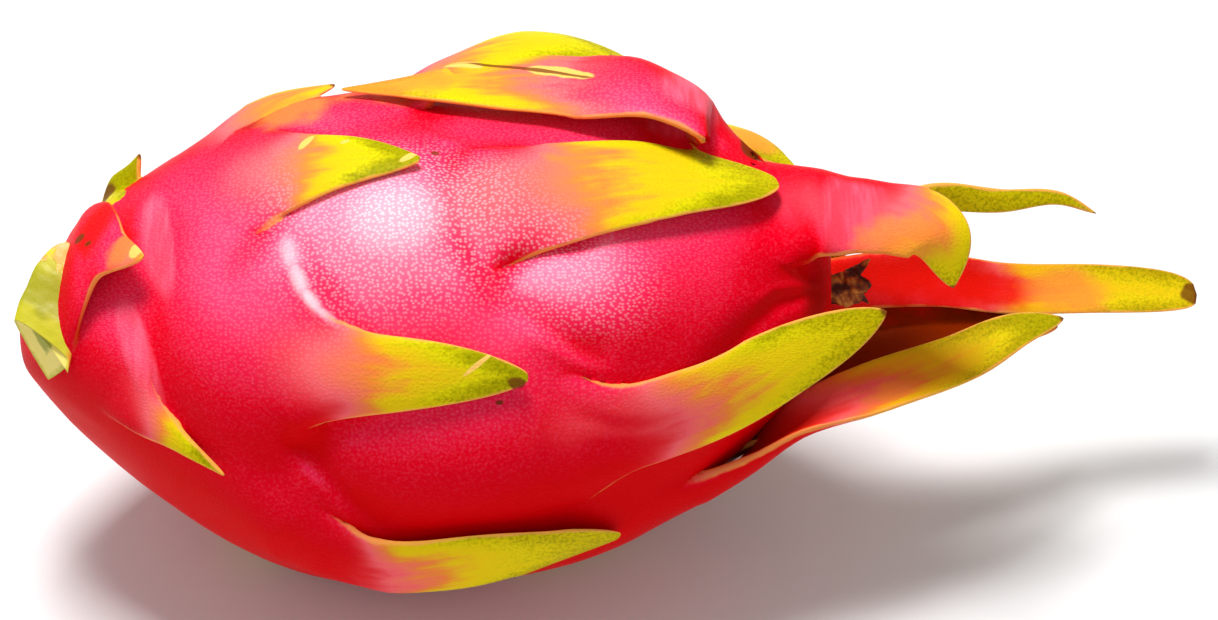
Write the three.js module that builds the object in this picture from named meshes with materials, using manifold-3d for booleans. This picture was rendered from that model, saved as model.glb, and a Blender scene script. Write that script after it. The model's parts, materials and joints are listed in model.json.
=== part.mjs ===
// Dragon fruit lying on its side: a red rind with leafy bracts, a cut stub of the stem that bore it
// and the dried remains of its flower. Units are millimetres. +X runs from the stem end to the
// flower end, +Z is up, and the origin is the middle of the small flat spot that the fruit rests on.
//
// A place on the fruit is given in its own coordinates: the station is the distance along the axis
// from the stem end, the angle turns round the axis from the front (0) over the top (90) to the
// back (180), and the lift is the height above the skin.
import * as THREE from 'three';
import { mergeVertices } from 'three/addons/utils/BufferGeometryUtils.js';
import Module from 'manifold-3d';

const wasm = await Module();
wasm.setup();

// ---- Driving dimensions -------------------------------------------------------------------------

const BODY = {
  length: 136,                 // stem end to flower end, without bracts
  belly: 62,                   // station of the widest round
  radius: 40,                  // at the belly
  stemPower: [2.0, 1.25],      // superellipse powers of the profile towards the stem end
  crownPower: [2.1, 1.4],      // and towards the flower end
  bellySoftness: 0.03,         // how widely the two halves blend at the belly
  axisHeight: 39.6,            // of the axis over the resting plane, at the belly
  stemRise: 7.5,               // how far the axis climbs by the stem end
  crownRise: 10,               // and by the flower end
  crownBack: 3,                // how far it also swings to the back
  neck: 11,                    // radius that the crown bracts keep round the flower scar
};
const REST_STATION = 60;       // station above the resting spot
const CUP = { station: 130.5, rimRise: 1.2, depth: 5.5 };
const STEM_SLANT = { angle: -60, slope: 0.6, radius: 14 };  // the stem end looks up and back a little

const BLADE_ROWS = 13;
const BLADE_COLUMNS = 10;
const BODY_ROWS = 44;
const BODY_COLUMNS = 42;
const GAP = 0.3;               // between the rind and the pieces seated in it

// Swellings of the skin between the bracts. Each is a bell round a place, with half sizes along the
// fruit and around it.
const PILLOWS = [
  { station: 37, angle: 44, along: 7.5, around: 12, height: 1.4 },
  { station: 46, angle: 112, along: 10, around: 6, height: 1.5 },
  { station: 97, angle: 48, along: 14, around: 9, height: 2 },
  { station: 98, angle: 122, along: 12, around: 9, height: 3.5 },
  { station: 117, angle: 127, along: 7, around: 6, height: 2 },
  { station: 131, angle: 97, along: 5, around: 6, height: 1.6 },
];

// What a bract is unless its own entry says otherwise. Margins are named for the side that they are
// on as one looks from the root to the tip from outside: the plus side is where the angle grows.
const BRACT = {
  width: 14,                   // across the blade at its root
  sweep: [0.6, 0.6],           // how fast the plus and minus margins part towards the stem end
  sweepAt: [7, 7],             // where beyond the root that starts on each side
  sweepSoft: 3,                // over what distance the margin turns
  sweepShare: 0.32,            // and how far it goes, as a share of the fruit's radius there
  thick: 2.6,
  cup: [-0.1, -0.1, -0.05],    // edge height over the midrib at root, middle and tip, in half widths
  twist: [0, 0, 0],            // turn about the midrib there, in degrees
  cushion: 2,                  // height of the swollen skin under and behind the root
  cushionLength: 20,
  cushionWidth: 16,
  tail: 12,                    // how far the blade runs on under the skin behind its root
  point: [2.2, 0.75],          // powers of the outline's taper
};
const HUG = [0.08, 0.45];      // part of the blade over which it leaves the skin
const POLE_ROOM = 1.5;         // bracts keep this far from the very end of the fruit
const ROOT_SINK = 1.2;         // how deep the tail ends

// Bracts placed one by one. Spine points are [station, angle, lift], from the root to the tip.
const FRONT_BRACTS = [
  { spine: [[47, 36, -0.3], [56, 34.3, 0.2], [70.5, 34, 1], [84.5, 32, 1.2]],
    width: 13.8, sweep: [2.2, 1.3], sweepAt: [1.2, 6.2], sweepShare: 0.55, tail: 18, point: [2.4, 0.7] },
  { spine: [[37, 84, -0.3], [46, 84, 0.3], [54.5, 83.3, 1], [67.5, 81.5, 1.5]],
    width: 18, sweep: [1, 0.45], sweepAt: [9, 9], sweepShare: 0.45, point: [2, 0.85], tail: 16 },
  { spine: [[72, 74, -0.3], [83, 76, 0.3], [100.5, 82.5, 1.4], [123.5, 91, 3]],
    width: 20, sweep: [0.35, 0.8], sweepAt: [10, 8], sweepShare: 0.45, point: [3.5, 0.6], tail: 16 },
  { spine: [[85, 12.7, -0.3], [98.5, 12.5, 0.3], [112, 13.5, 1.5], [125.5, 20, 5.5], [139, 28, 11.5]],
    width: 14.4, sweep: [1, 1], sweepAt: [12, 12], sweepShare: 0.45, point: [4, 0.7], tail: 16 },
  { spine: [[46, -14, 0.3], [57, -17.5, 1.5], [79, -13, 3], [98.5, -22, 2]],
    width: 17, sweep: [1.05, 1], sweepAt: [4, 4], sweepShare: 0.5, point: [3, 0.6], cushion: 1.8,
    cushionLength: 9, cushionWidth: 11, tail: 16 },
  { spine: [[18.5, 24, -0.3], [25, 15, 0.5], [30, 11, 0.8], [37, 6.5, 1]],
    width: 7.5, sweep: [0.55, 1.5], sweepAt: [6, 9], sweepShare: 0.45, cushionLength: 12, tail: 12,
    point: [1.3, 0.9] },
  { spine: [[9.5, 66, -0.3], [16.5, 66, 1.8], [24.5, 61, 2.2]],
    width: 11, sweep: [4, 1.5], sweepAt: [11, 9], sweepShare: 0.7, sweepSoft: 1.5, cushion: 4.5,
    cushionLength: 5.5, tail: 3, point: [2, 0.8] },
];
const TOP_BRACTS = [
  { spine: [[14, 117, -0.3], [16.5, 120, 1.6], [19.5, 120, 4.6]],
    width: 10, sweep: [0.3, 0.3], cushion: 1, cushionLength: 8, tail: 3, point: [1.2, 1],
    twist: [0, 45, 45] },
  { spine: [[26, 114, -0.3], [34, 118, 1], [42.5, 121, 2.2], [51.5, 124, 2.2]],
    width: 15, cushion: 1.5, twist: [0, 12, 12], tail: 7 },
  { spine: [[60, 122, -0.3], [69.5, 126, 4.8], [84.5, 128, 9.3], [94.5, 127, 9], [103.5, 125, 7.2]],
    width: 18, sweep: [0.4, 0.4], twist: [0, 25, 20] },
  { spine: [[113, 115, 0.5], [112.5, 116, 6], [104, 115, 9], [91, 113.5, 6.9], [76, 112.5, 4.6],
    [52, 112, 3.4]],
    width: 25, sweep: [0, 0], cup: [0, -0.15, 0.1], point: [1.6, 0.9], cushion: 0.5,
    twist: [0, -22, -11], tail: 6 },
  { spine: [[100, 138, -0.3], [111, 136, 2.4], [118, 137, 3.6], [127, 136, 2.2]],
    width: 16, sweep: [0.4, 0.4], cushion: 2, cushionLength: 30, cushionWidth: 20, twist: [0, 30, 30] },
];
const CROWN_BRACTS = [
  { spine: [[121.5, 87, -0.3], [129, 89, 3.8], [135.5, 83.5, 6.2], [141.8, 72, 6.7], [147.5, 58, 6.5],
    [150.5, 27, 1.5]],
    width: 17, sweep: [0.8, 0.4], point: [3, 0.8], cushion: 2, cup: [-0.1, -0.3, -0.2] },
  { spine: [[126, 120, -0.3], [134, 124, 1.4], [148.5, 130, 1.2], [160, 141, -1.3], [170, 143, -2.6],
    [176, 153, -6]],
    width: 6, sweep: [0.2, 0.2], cushion: 0.5, twist: [0, -60, -60] },
  { spine: [[124, -137, -0.3], [139.5, -139, 2.4], [150, -133, 3.4], [162, -123.5, 7.4],
    [179.5, -118, 10.8], [196.5, -111, 12.7]],
    width: 9, sweep: [0.2, 0.2], cushion: 0.5, cup: [-0.3, -0.3, -0.2], point: [14, 0.35] },
  { spine: [[104, -34, -0.3], [112, -38, 0.8], [119, -41, 1.8], [128, -44.5, 2.8], [140, -51, 5.9],
    [153.5, -58, 2.7], [163.5, -68, -0.8], [171, -72, -1.6]],
    width: 13.5, sweep: [0.2, 0.2], point: [4, 0.7], cushion: 2.8, cushionLength: 30, cushionWidth: 18,
    cup: [-0.2, -0.3, -0.3], twist: [0, 35, 35], tail: 6 },
  { spine: [[105, -86, -0.3], [117, -93, 1.4], [131, -102, 3.2], [146, -107, 5.2], [160, -106, 7.5],
    [172, -103, 9.5]],
    width: 21, sweep: [1.2, 0.3], sweepAt: [20, 7], sweepShare: 0.45, cushion: 1,
    cup: [-0.1, -0.35, -0.4], point: [3, 0.7], tail: 6 },
];

// Round the back and underneath, the bracts stand in rows along the fruit, each row set half a step
// on from the next. A row is [angle, station of its first root].
const BACK_ROWS = [[190, 19], [236, 38], [284, 24]];
const ROW_STEP = 43;
const ROW_SEED = 7;
const ROW_JITTER = { station: 2, angle: 5 };
const ROW_END = 108;

const STUB = {
  top: [-50.2, -3, 63.3],        // middle of the front flank where it is grown onto the fruit
  cut: [-53.5, -16, 53.5],       // middle of that flank at the cut
  across: [0.975, -0.16, -0.15], // the way its width runs
  halfWidth: 5.1,
  bulge: 0.9,                    // how far the front flank is rounded
  ribDepth: 5.4,                 // how far the third rib stands back
  ribAt: 0.25,                   // and where it stands, as a share of the half width
  slopeAcross: 0.47,             // slope of the cut along the width
  slopeThrough: -0.78,           // and through the thickness
};
const REMNANT = { start: 127, end: 138.5, radius: 4.2, folds: 5, foldDepth: 0.25, flare: 0.25 };

// ---- Small helpers ------------------------------------------------------------------------------

/** Eased step from 0 at `low` to 1 at `high`. */
function ease(low, high, x) {
  return THREE.MathUtils.smoothstep(x, low, high);
}

/** Ramp that is 0 for x far below 0, x far above it, and turns over a distance `soft`. */
function softRamp(x, soft) {
  return soft * Math.log1p(Math.exp(Math.min(x / soft, 30)));
}

/** Falls from 1 to 0 as x passes 0, over a distance `soft`. */
function softEdge(x, soft) {
  return 1 / (1 + Math.exp(THREE.MathUtils.clamp(x / soft, -30, 30)));
}

/** Value at x of the broken line through three values at 0, a half and 1. */
function threePoint(values, x) {
  const t = THREE.MathUtils.clamp(x, 0, 1) * 2;
  return t < 1 ? THREE.MathUtils.lerp(values[0], values[1], t)
    : THREE.MathUtils.lerp(values[1], values[2], t - 1);
}

/** A repeatable draw between -1 and 1 for the n-th question asked. */
function draw(n) {
  const x = Math.sin((n + ROW_SEED) * 12.9898) * 43758.5453;
  return 2 * (x - Math.floor(x)) - 1;
}

// ---- The body: a bent spindle -------------------------------------------------------------------

/** Middle of the fruit at a station; past the flower end it runs on nearly straight. */
function axisPoint(station) {
  const d = station - BODY.belly;
  const half = BODY.length - BODY.belly;
  const straight = Math.max(station - BODY.length - 4, 0);
  const bent = Math.min(d, half + 4);
  const up = d > 0 ? BODY.crownRise * ((bent / half) ** 2 + 0.8 * straight * (bent / half ** 2))
    : BODY.stemRise * Math.abs(d / BODY.belly) ** 3;
  const back = d > 0 ? BODY.crownBack * (d / half) ** 2 : 0;
  return new THREE.Vector3(station - REST_STATION, back, BODY.axisHeight + up);
}

/** Direction straight out from the axis at an angle. */
function radial(angle) {
  const t = THREE.MathUtils.degToRad(angle);
  return new THREE.Vector3(0, -Math.cos(t), Math.sin(t));
}

/** Radius of the bare spindle. */
function spindleRadius(station) {
  const towardsStem = station < BODY.belly;
  const [p, q] = towardsStem ? BODY.stemPower : BODY.crownPower;
  const reach = towardsStem ? BODY.belly : BODY.length - BODY.belly;
  const x = THREE.MathUtils.clamp(Math.abs(station - BODY.belly) / reach, 0, 1) ** 2;
  const c = BODY.bellySoftness;
  return BODY.radius * Math.max(1 - x * ((1 + c) / (x + c)) ** (1 - p / 2), 0) ** (1 / q);
}

/** Radius that the bracts are set out from: the spindle's, widened round the flower scar. */
function guideRadius(station) {
  return Math.hypot(spindleRadius(station), BODY.neck * Math.sqrt(ease(100, 140, station)));
}

/** Point at a station and angle, `lift` above the guide surface. */
function guidePoint(station, angle, lift) {
  return axisPoint(station).addScaledVector(radial(angle), guideRadius(station) + lift);
}

/** Height of a swelling between the bracts at a place. */
function pillowHeight(pillow, station, angle) {
  const turn = THREE.MathUtils.euclideanModulo(angle - pillow.angle + 180, 360) - 180;
  const x = station - pillow.station;
  const y = THREE.MathUtils.degToRad(turn) * Math.max(guideRadius(station), 6);
  return pillow.height * Math.exp(-((x / pillow.along) ** 2) - (y / pillow.around) ** 2);
}

/** Height of the swollen skin at a place, from the pillows and every bract but one. */
function swell(bracts, station, angle, skip = null) {
  const relief = PILLOWS.reduce((sum, pillow) => sum + pillowHeight(pillow, station, angle), 0);
  return bracts.reduce((sum, b) => (b === skip ? sum : sum + cushionHeight(b, station, angle)), relief);
}

/** Profile of the body: station and radius at t from 0 at the stem end to 1 in the flower cup. */
function bodyProfile(t) {
  const side = 0.86;
  if (t < side) {
    const station = CUP.station * (1 - Math.cos(Math.PI * (t / side) ** 0.9)) / 2;
    return { station, shift: 0, radius: spindleRadius(station) };
  }
  const w = (t - side) / (1 - side);
  const rim = CUP.rimRise * Math.sin(Math.PI * Math.min(w / 0.4, 1));
  const shift = rim - CUP.depth * ease(0.15, 1, w);
  return { station: CUP.station, shift, radius: spindleRadius(CUP.station) * (1 - w) };
}

/** The skin at profile parameter t and an angle. */
function bodyPoint(bracts, t, angle) {
  const { station, shift, radius } = bodyProfile(t);
  const fade = shift === 0 ? 1 : radius / spindleRadius(CUP.station);
  const point = axisPoint(station);
  point.addScaledVector(radial(angle), radius + fade * swellAt(bracts, station, angle, radius));
  const lean = Math.cos(THREE.MathUtils.degToRad(angle - STEM_SLANT.angle));
  const slant = STEM_SLANT.slope * radius * lean * Math.exp(-((radius / STEM_SLANT.radius) ** 2));
  point.x += shift - (station < BODY.belly ? slant : 0);
  return point;
}

/** Swollen skin height, faded out where the spindle closes. */
function swellAt(bracts, station, angle, radius) {
  return swell(bracts, station, angle) * Math.min(radius / 8, 1);
}

// ---- Bracts -------------------------------------------------------------------------------------

/** Station and angle as distances along and across a bract, in mm, measured from its root. */
function bractLocal(bract, station, angle) {
  const [[s0, a0], [s1, a1]] = bract.spine;
  const along = new THREE.Vector2(s1 - s0, THREE.MathUtils.degToRad(a1 - a0) * guideRadius(s0));
  along.normalize();
  const turn = THREE.MathUtils.euclideanModulo(angle - a0 + 180, 360) - 180;
  const x = station - s0;
  const y = THREE.MathUtils.degToRad(turn) * Math.max(guideRadius(station), 6);
  return { u: x * along.x + y * along.y, v: -x * along.y + y * along.x };
}

/** How far a swept margin stands out beyond the blade's own half width, u mm from the root. */
function sweepWidth(bract, u, side) {
  const n = side > 0 ? 0 : 1;
  const free = bract.sweep[n] * softRamp(bract.sweepAt[n] - u, bract.sweepSoft);
  const most = bract.sweepShare * guideRadius(bract.spine[0][0]);
  return most * Math.tanh(free / most);
}

/** Height of the swollen skin that a bract grows from, which drops off at the bract's margins. */
function cushionHeight(bract, station, angle) {
  const { u, v } = bractLocal(bract, station, angle);
  const behind = Math.min(u, 0);
  const bulge = Math.exp(-((v / bract.cushionWidth) ** 2) - (behind / bract.cushionLength) ** 2);
  const margin = Math.abs(v) - bract.width / 2 - sweepWidth(bract, u, v);
  return bract.cushion * bulge * softEdge(margin, 0.7 - 0.2 * behind) * softEdge(u - 2, 1.5);
}

/** Spine of a bract in space, from the buried end of its tail to its tip. */
function bractSpine(bract) {
  const [s0, a0, l0] = bract.spine[0];
  const [s1, a1] = bract.spine[1];
  const round = THREE.MathUtils.radToDeg(1) / guideRadius(s0);
  const along = new THREE.Vector2(s1 - s0, (a1 - a0) / round).normalize();
  const tail = [s0 - along.x * bract.tail, a0 - along.y * bract.tail * round, l0 - ROOT_SINK];
  const tailSwell = bract.cushion * Math.exp(-((bract.tail / bract.cushionLength) ** 2));
  const points = [guidePoint(tail[0], tail[1], tail[2] + tailSwell)];
  bract.spine.forEach(([s, a, l]) => points.push(guidePoint(s, a, l + bract.cushion)));
  return new THREE.CatmullRomCurve3(points, false, 'chordal');
}

/** Rows of a blade lie closer together towards its tip. */
function rowPlace(t) {
  return THREE.MathUtils.lerp(t, Math.sin(t * Math.PI / 2), 0.7);
}

/** Sections of a bract: place, direction, angle and how far along the blade each one is. */
function bractSections(bract, rows) {
  const curve = bractSpine(bract);
  const steps = 40;
  curve.arcLengthDivisions = steps * bract.spine.length;
  const lengths = curve.getLengths();
  const root = lengths[steps];
  const total = lengths[lengths.length - 1];
  const sections = [];
  for (let i = 0; i <= rows; i += 1) {
    const part = rowPlace(i / rows);
    const centre = curve.getPointAt(part);
    const station = centre.x + REST_STATION;
    const arm = centre.clone().sub(axisPoint(station));
    sections.push({
      centre,
      station,
      angle: THREE.MathUtils.radToDeg(Math.atan2(arm.z, -arm.y)),
      reach: Math.hypot(arm.y, arm.z),
      tangent: curve.getTangentAt(part),
      u: total * part - root,
      q: (total * part - root) / (total - root),
    });
  }
  return sections;
}

/** Thickness of a blade: swollen at the root and thin at the tip. */
function bladeThickness(bract, q) {
  return bract.thick * (1 - 0.55 * q) * (1 + 1.2 * Math.exp(-q / 0.15)) * Math.sqrt(1 - q ** 8);
}

/** Half width of a blade on one side, u mm and a share q of its length beyond the root. */
function halfWidth(bract, u, q, side) {
  const taper = (1 - q ** bract.point[0]) ** bract.point[1];
  return bract.width / 2 * taper + sweepWidth(bract, u, side) * (1 - q);
}

/** Outline of one section of a bract as a ring of points: over the skin near the root, free after. */
function bractRing(bracts, bract, section, columns) {
  const { centre, station, angle, tangent, u } = section;
  const q = THREE.MathUtils.clamp(section.q, 0, 1);
  const normal = radial(angle);
  normal.addScaledVector(tangent, -normal.dot(tangent)).normalize();
  const side = new THREE.Vector3().crossVectors(normal, tangent);
  const out = radial(angle + 90);
  const radius = Math.max(guideRadius(station), 8);
  const heading = new THREE.Vector2(tangent.x, tangent.dot(out)).normalize();
  const own = bract.cushion * Math.exp(-((Math.min(u, 0) / bract.cushionLength) ** 2));
  const lift = section.reach - guideRadius(station) - own;
  const twist = THREE.MathUtils.degToRad(threePoint(bract.twist, section.q));
  const cup = threePoint(bract.cup, section.q) / (bract.width / 2);
  const free = ease(...HUG, section.q);
  const ring = [];
  for (let j = 0; j < columns; j += 1) {
    const psi = 2 * Math.PI * j / columns;
    const across = Math.cos(psi);
    const through = Math.sign(Math.sin(psi)) * Math.abs(Math.sin(psi)) ** 0.7;
    const v = across * halfWidth(bract, u, q, across);
    const depth = -bladeThickness(bract, q) / 2 * (1 - through);
    const high = cup * v * v + depth;
    const flap = centre.clone()
      .addScaledVector(side, v * Math.cos(twist) - high * Math.sin(twist))
      .addScaledVector(normal, v * Math.sin(twist) + high * Math.cos(twist));
    const s = Math.max(station - v * heading.y, POLE_ROOM);
    const a = angle + THREE.MathUtils.radToDeg(v * heading.x / radius);
    const skin = own * Math.exp(-((v / bract.cushionWidth) ** 2)) + swell(bracts, s, a, bract);
    ring.push(guidePoint(s, a, lift + skin + depth).lerp(flap, free));
  }
  return ring;
}

/** Length of a back bract by where along the fruit it grows. */
function backLength(station) {
  return 20 + 16 * ease(10, 60, station);
}

/** The rows of bracts round the back and underneath. */
function backBracts() {
  const list = [];
  let n = 0;
  for (const [rowAngle, first] of BACK_ROWS) {
    for (let s = first; s < ROW_END; s += ROW_STEP) {
      const root = s + ROW_JITTER.station * draw(n);
      const angle = rowAngle + ROW_JITTER.angle * draw(n + 1);
      const lean = 3 * draw(n + 2);
      const length = backLength(root);
      const raise = 0.8 + 5 * ease(70, 115, root);
      list.push({
        spine: [[root, angle, -0.3], [root + 0.3 * length, angle + lean / 2, 0.3],
          [root + 0.65 * length, angle + lean, 0.3 + 0.4 * raise], [root + length, angle, raise]],
        width: 14.5 - 3 * ease(80, 120, root),
        sweep: [0.9, 0.8],
        cushion: rowAngle > 260 ? 1.3 : 2,
        tail: 7 + 7 * ease(15, 50, root),
      });
      n += 3;
    }
  }
  return list;
}

// ---- Solids -------------------------------------------------------------------------------------

/** Closed geometry of rings of points, with a point at each end. Rings turn so that faces look out. */
function ringSurface(first, rings, last) {
  const columns = rings[0].length;
  const points = [first, ...rings.flat(), last];
  const end = points.length - 1;
  const at = (i, j) => 1 + i * columns + (j % columns);
  const index = [];
  for (let j = 0; j < columns; j += 1) {
    index.push(0, at(0, j + 1), at(0, j));
    index.push(end, at(rings.length - 1, j), at(rings.length - 1, j + 1));
    for (let i = 0; i < rings.length - 1; i += 1) {
      index.push(at(i, j), at(i, j + 1), at(i + 1, j + 1));
      index.push(at(i, j), at(i + 1, j + 1), at(i + 1, j));
    }
  }
  const geometry = new THREE.BufferGeometry();
  geometry.setAttribute('position', new THREE.Float32BufferAttribute(points.flatMap((p) => [...p]), 3));
  geometry.setIndex(index);
  return geometry;
}

/** Solid of a closed geometry. */
function toSolid(geometry) {
  const bare = geometry.clone();
  bare.deleteAttribute('normal');
  bare.deleteAttribute('uv');
  const merged = mergeVertices(bare, 1e-5);
  return new wasm.Manifold(new wasm.Mesh({
    numProp: 3,
    vertProperties: new Float32Array(merged.attributes.position.array),
    triVerts: new Uint32Array(merged.index.array),
  }));
}

/** Geometry of a solid's largest body; inner hollows and loose scraps are left out. */
function toGeometry(solid) {
  const largest = solid.decompose().reduce((a, b) => (b.volume() > a.volume() ? b : a));
  const mesh = largest.getMesh();
  const geometry = new THREE.BufferGeometry();
  geometry.setAttribute('position', new THREE.BufferAttribute(mesh.vertProperties, 3));
  geometry.setIndex(new THREE.BufferAttribute(mesh.triVerts, 1));
  geometry.computeVertexNormals();
  return geometry;
}

/** The spindle with its swollen skin and flower cup. */
function bodySolid(bracts) {
  const rings = [];
  for (let i = 1; i < BODY_ROWS; i += 1) {
    const ring = [];
    for (let j = 0; j < BODY_COLUMNS; j += 1) {
      ring.push(bodyPoint(bracts, i / BODY_ROWS, -360 * j / BODY_COLUMNS));
    }
    rings.push(ring);
  }
  return toSolid(ringSurface(bodyPoint(bracts, 0, 0), rings, bodyPoint(bracts, 1, 0)));
}

/** One bract. */
function bractSolid(bracts, bract) {
  const sections = bractSections(bract, BLADE_ROWS);
  const rings = sections.slice(0, -1).map((s) => bractRing(bracts, bract, s, BLADE_COLUMNS));
  const middle = rings[0].reduce((sum, p) => sum.add(p), new THREE.Vector3());
  return toSolid(ringSurface(middle.divideScalar(BLADE_COLUMNS), rings, sections[BLADE_ROWS].centre));
}

/** Everything below the resting plane. */
function floorSolid() {
  const size = 400;
  return toSolid(new THREE.BoxGeometry(size, size, size).translate(0, 0, -size / 2));
}

/** Section of the three-ribbed stem at angle psi: a flat flank in front and a rib behind. */
function stubSection(psi, size, extra) {
  const x = Math.cos(psi);
  const slope = Math.abs(x - STUB.ribAt) / (x > STUB.ribAt ? 1 - STUB.ribAt : 1 + STUB.ribAt);
  const turn = Math.abs(Math.sin(psi));
  const front = STUB.bulge * turn ** 0.8 * size + extra * turn ** 0.5;
  const behind = -STUB.ribDepth * size ** 1.3 * (1 - slope) ** 0.85 - extra * turn ** 0.5;
  return { x: x * (STUB.halfWidth * size + extra), y: Math.sin(psi) > 0 ? front : behind };
}

/** Stub of the green stem, grown larger all round by `extra`. */
function stubGeometry(extra) {
  const top = new THREE.Vector3(...STUB.top);
  const down = new THREE.Vector3(...STUB.cut).sub(top);
  const length = down.length();
  down.normalize();
  const across = new THREE.Vector3(...STUB.across);
  across.addScaledVector(down, -across.dot(down)).normalize();
  const face = new THREE.Vector3().crossVectors(down, across);
  const rings = [];
  const rows = 12;
  const columns = 20;
  for (let i = 1; i <= rows; i += 1) {
    const s = i / rows;
    const ring = [];
    for (let j = 0; j < columns; j += 1) {
      const { x, y } = stubSection(2 * Math.PI * j / columns, Math.sqrt(1 - (1 - s) ** 2.2), extra);
      const slant = STUB.slopeAcross * x + STUB.slopeThrough * y;
      const along = s * (length + 2 * extra + slant) - extra;
      ring.push(top.clone().addScaledVector(down, along).addScaledVector(across, x)
        .addScaledVector(face, y));
    }
    rings.push(ring);
  }
  const start = top.clone().addScaledVector(down, -extra - 0.1);
  const end = top.clone().addScaledVector(down, length + extra);
  return ringSurface(start, rings, end);
}

/** Dried flower remains: a pleated tube that has withered shut, larger all round by `extra`. */
function remnantGeometry(extra) {
  const rings = [];
  const rows = 8;
  const columns = 20;
  for (let i = 0; i <= rows; i += 1) {
    const s = i / rows;
    const station = THREE.MathUtils.lerp(REMNANT.start - extra, REMNANT.end + extra, s);
    const middle = axisPoint(station);
    const body = REMNANT.radius * (1 - 0.35 * ease(0.1, 0.5, s) + REMNANT.flare * ease(0.6, 1, s));
    const ring = [];
    for (let j = 0; j < columns; j += 1) {
      const angle = -360 * j / columns;
      const pleat = Math.cos(THREE.MathUtils.degToRad(REMNANT.folds * angle + 40 * s));
      const radius = body * (1 - REMNANT.foldDepth * s * (0.5 + 0.5 * pleat)) + extra;
      const point = middle.clone().addScaledVector(radial(angle), radius);
      point.x -= 1.6 * ease(0.5, 1, s) * (0.5 + 0.5 * pleat);
      ring.push(point);
    }
    rings.push(ring);
  }
  const end = axisPoint(REMNANT.end + extra);
  end.x -= 2.2;
  return ringSurface(axisPoint(REMNANT.start - extra), rings, end);
}

/** The rind with every bract, seated on its flat spot and with room for the stub and the remnant. */
function fruitGeometry() {
  const bracts = [...FRONT_BRACTS, ...TOP_BRACTS, ...CROWN_BRACTS, ...backBracts()]
    .map((own) => ({ ...BRACT, ...own }));
  const grown = bracts.reduce((sum, b) => sum.add(bractSolid(bracts, b)), bodySolid(bracts));
  const seats = toSolid(stubGeometry(GAP)).add(toSolid(remnantGeometry(GAP))).add(floorSolid());
  return toGeometry(grown.subtract(seats));
}

// ---- The part -----------------------------------------------------------------------------------

/** Named mesh with its finish. */
function piece(name, geometry, colour, roughness) {
  geometry.computeVertexNormals();
  const material = new THREE.MeshStandardMaterial({ color: colour, roughness, metalness: 0 });
  const mesh = new THREE.Mesh(geometry, material);
  mesh.name = name;
  return mesh;
}

const dragonFruit = new THREE.Group();
dragonFruit.name = 'dragon_fruit';
dragonFruit.add(piece('fruit', fruitGeometry(), 0xd4164a, 0.45));
dragonFruit.add(piece('stem_stub', stubGeometry(0), 0x8a9a2b, 0.6));
dragonFruit.add(piece('flower_remnant', remnantGeometry(0), 0x6b4423, 0.9));

export default dragonFruit;
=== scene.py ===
"""Dragon fruit lying on its side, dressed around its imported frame.

The rind and its bracts are one grown piece, built from the same rule as the solid it replaces, only
finer. The cut stem stub and the dried flower remains are pieces of their own. Sizes of the fruit
and its finishes are millimetres, those of the studio are metres, and meshes are written in metres.

A place on the fruit is given in its own coordinates: the station is the distance along the axis
from the stem end, the angle turns round the axis from the front (0) over the top (90) to the back
(180), and the lift is the height above the skin.
"""

import json
import logging
import math
from dataclasses import dataclass, field
from enum import Enum
from functools import partial

import bpy
import numpy as np
from mathutils import Matrix, Vector

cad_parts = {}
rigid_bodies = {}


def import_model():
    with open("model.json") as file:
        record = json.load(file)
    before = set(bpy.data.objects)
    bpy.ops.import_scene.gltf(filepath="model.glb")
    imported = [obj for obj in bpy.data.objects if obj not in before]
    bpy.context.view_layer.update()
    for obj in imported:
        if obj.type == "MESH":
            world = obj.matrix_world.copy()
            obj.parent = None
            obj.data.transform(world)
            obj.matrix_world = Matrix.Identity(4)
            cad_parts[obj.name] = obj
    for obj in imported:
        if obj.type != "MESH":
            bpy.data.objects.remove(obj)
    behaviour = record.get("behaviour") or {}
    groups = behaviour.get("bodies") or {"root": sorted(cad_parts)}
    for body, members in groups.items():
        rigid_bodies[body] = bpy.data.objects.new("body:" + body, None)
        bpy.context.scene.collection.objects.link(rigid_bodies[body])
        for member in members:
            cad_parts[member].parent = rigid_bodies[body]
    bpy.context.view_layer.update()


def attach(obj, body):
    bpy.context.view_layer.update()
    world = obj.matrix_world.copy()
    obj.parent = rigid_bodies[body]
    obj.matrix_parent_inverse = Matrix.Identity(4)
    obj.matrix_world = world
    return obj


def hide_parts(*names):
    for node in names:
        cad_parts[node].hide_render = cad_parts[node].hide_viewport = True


LOG = logging.getLogger("dragon_fruit")
MM = 0.001
LAYER = 0.01   # a UV map counts in 0.01 per mm, where it keeps a distance


class Slot(Enum):
    """Material slots of the record."""

    RIND = "rind"
    STEM = "stem"
    DRIED_FLOWER = "dried_flower"


# ---- Small helpers ---------------------------------------------------------------------------------


def ease(low: float, high: float, x: np.ndarray) -> np.ndarray:
    """Eased step: 3t^2 - 2t^3, with t running from 0 at low to 1 at high.

    Args:
        low: Where the step starts.
        high: Where it ends.
        x: Places to take it at.

    Returns:
        Values from 0 to 1.
    """
    t = np.clip((x - low) / (high - low), 0.0, 1.0)
    return t * t * (3.0 - 2.0 * t)


def soft_ramp(x: np.ndarray, soft: float) -> np.ndarray:
    """Ramp that is 0 far below 0 and x far above it: soft * log(1 + exp(x / soft))."""
    return soft * np.log1p(np.exp(np.minimum(x / soft, 30.0)))


def soft_edge(x: np.ndarray, soft: float) -> np.ndarray:
    """Falls from 1 to 0 as x passes 0: 1 / (1 + exp(x / soft))."""
    return 1.0 / (1.0 + np.exp(np.clip(x / soft, -30.0, 30.0)))


def three_point(values: tuple[float, float, float], x: np.ndarray) -> np.ndarray:
    """Broken line through three values at 0, a half and 1."""
    return np.interp(np.clip(x, 0.0, 1.0), (0.0, 0.5, 1.0), values)


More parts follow.
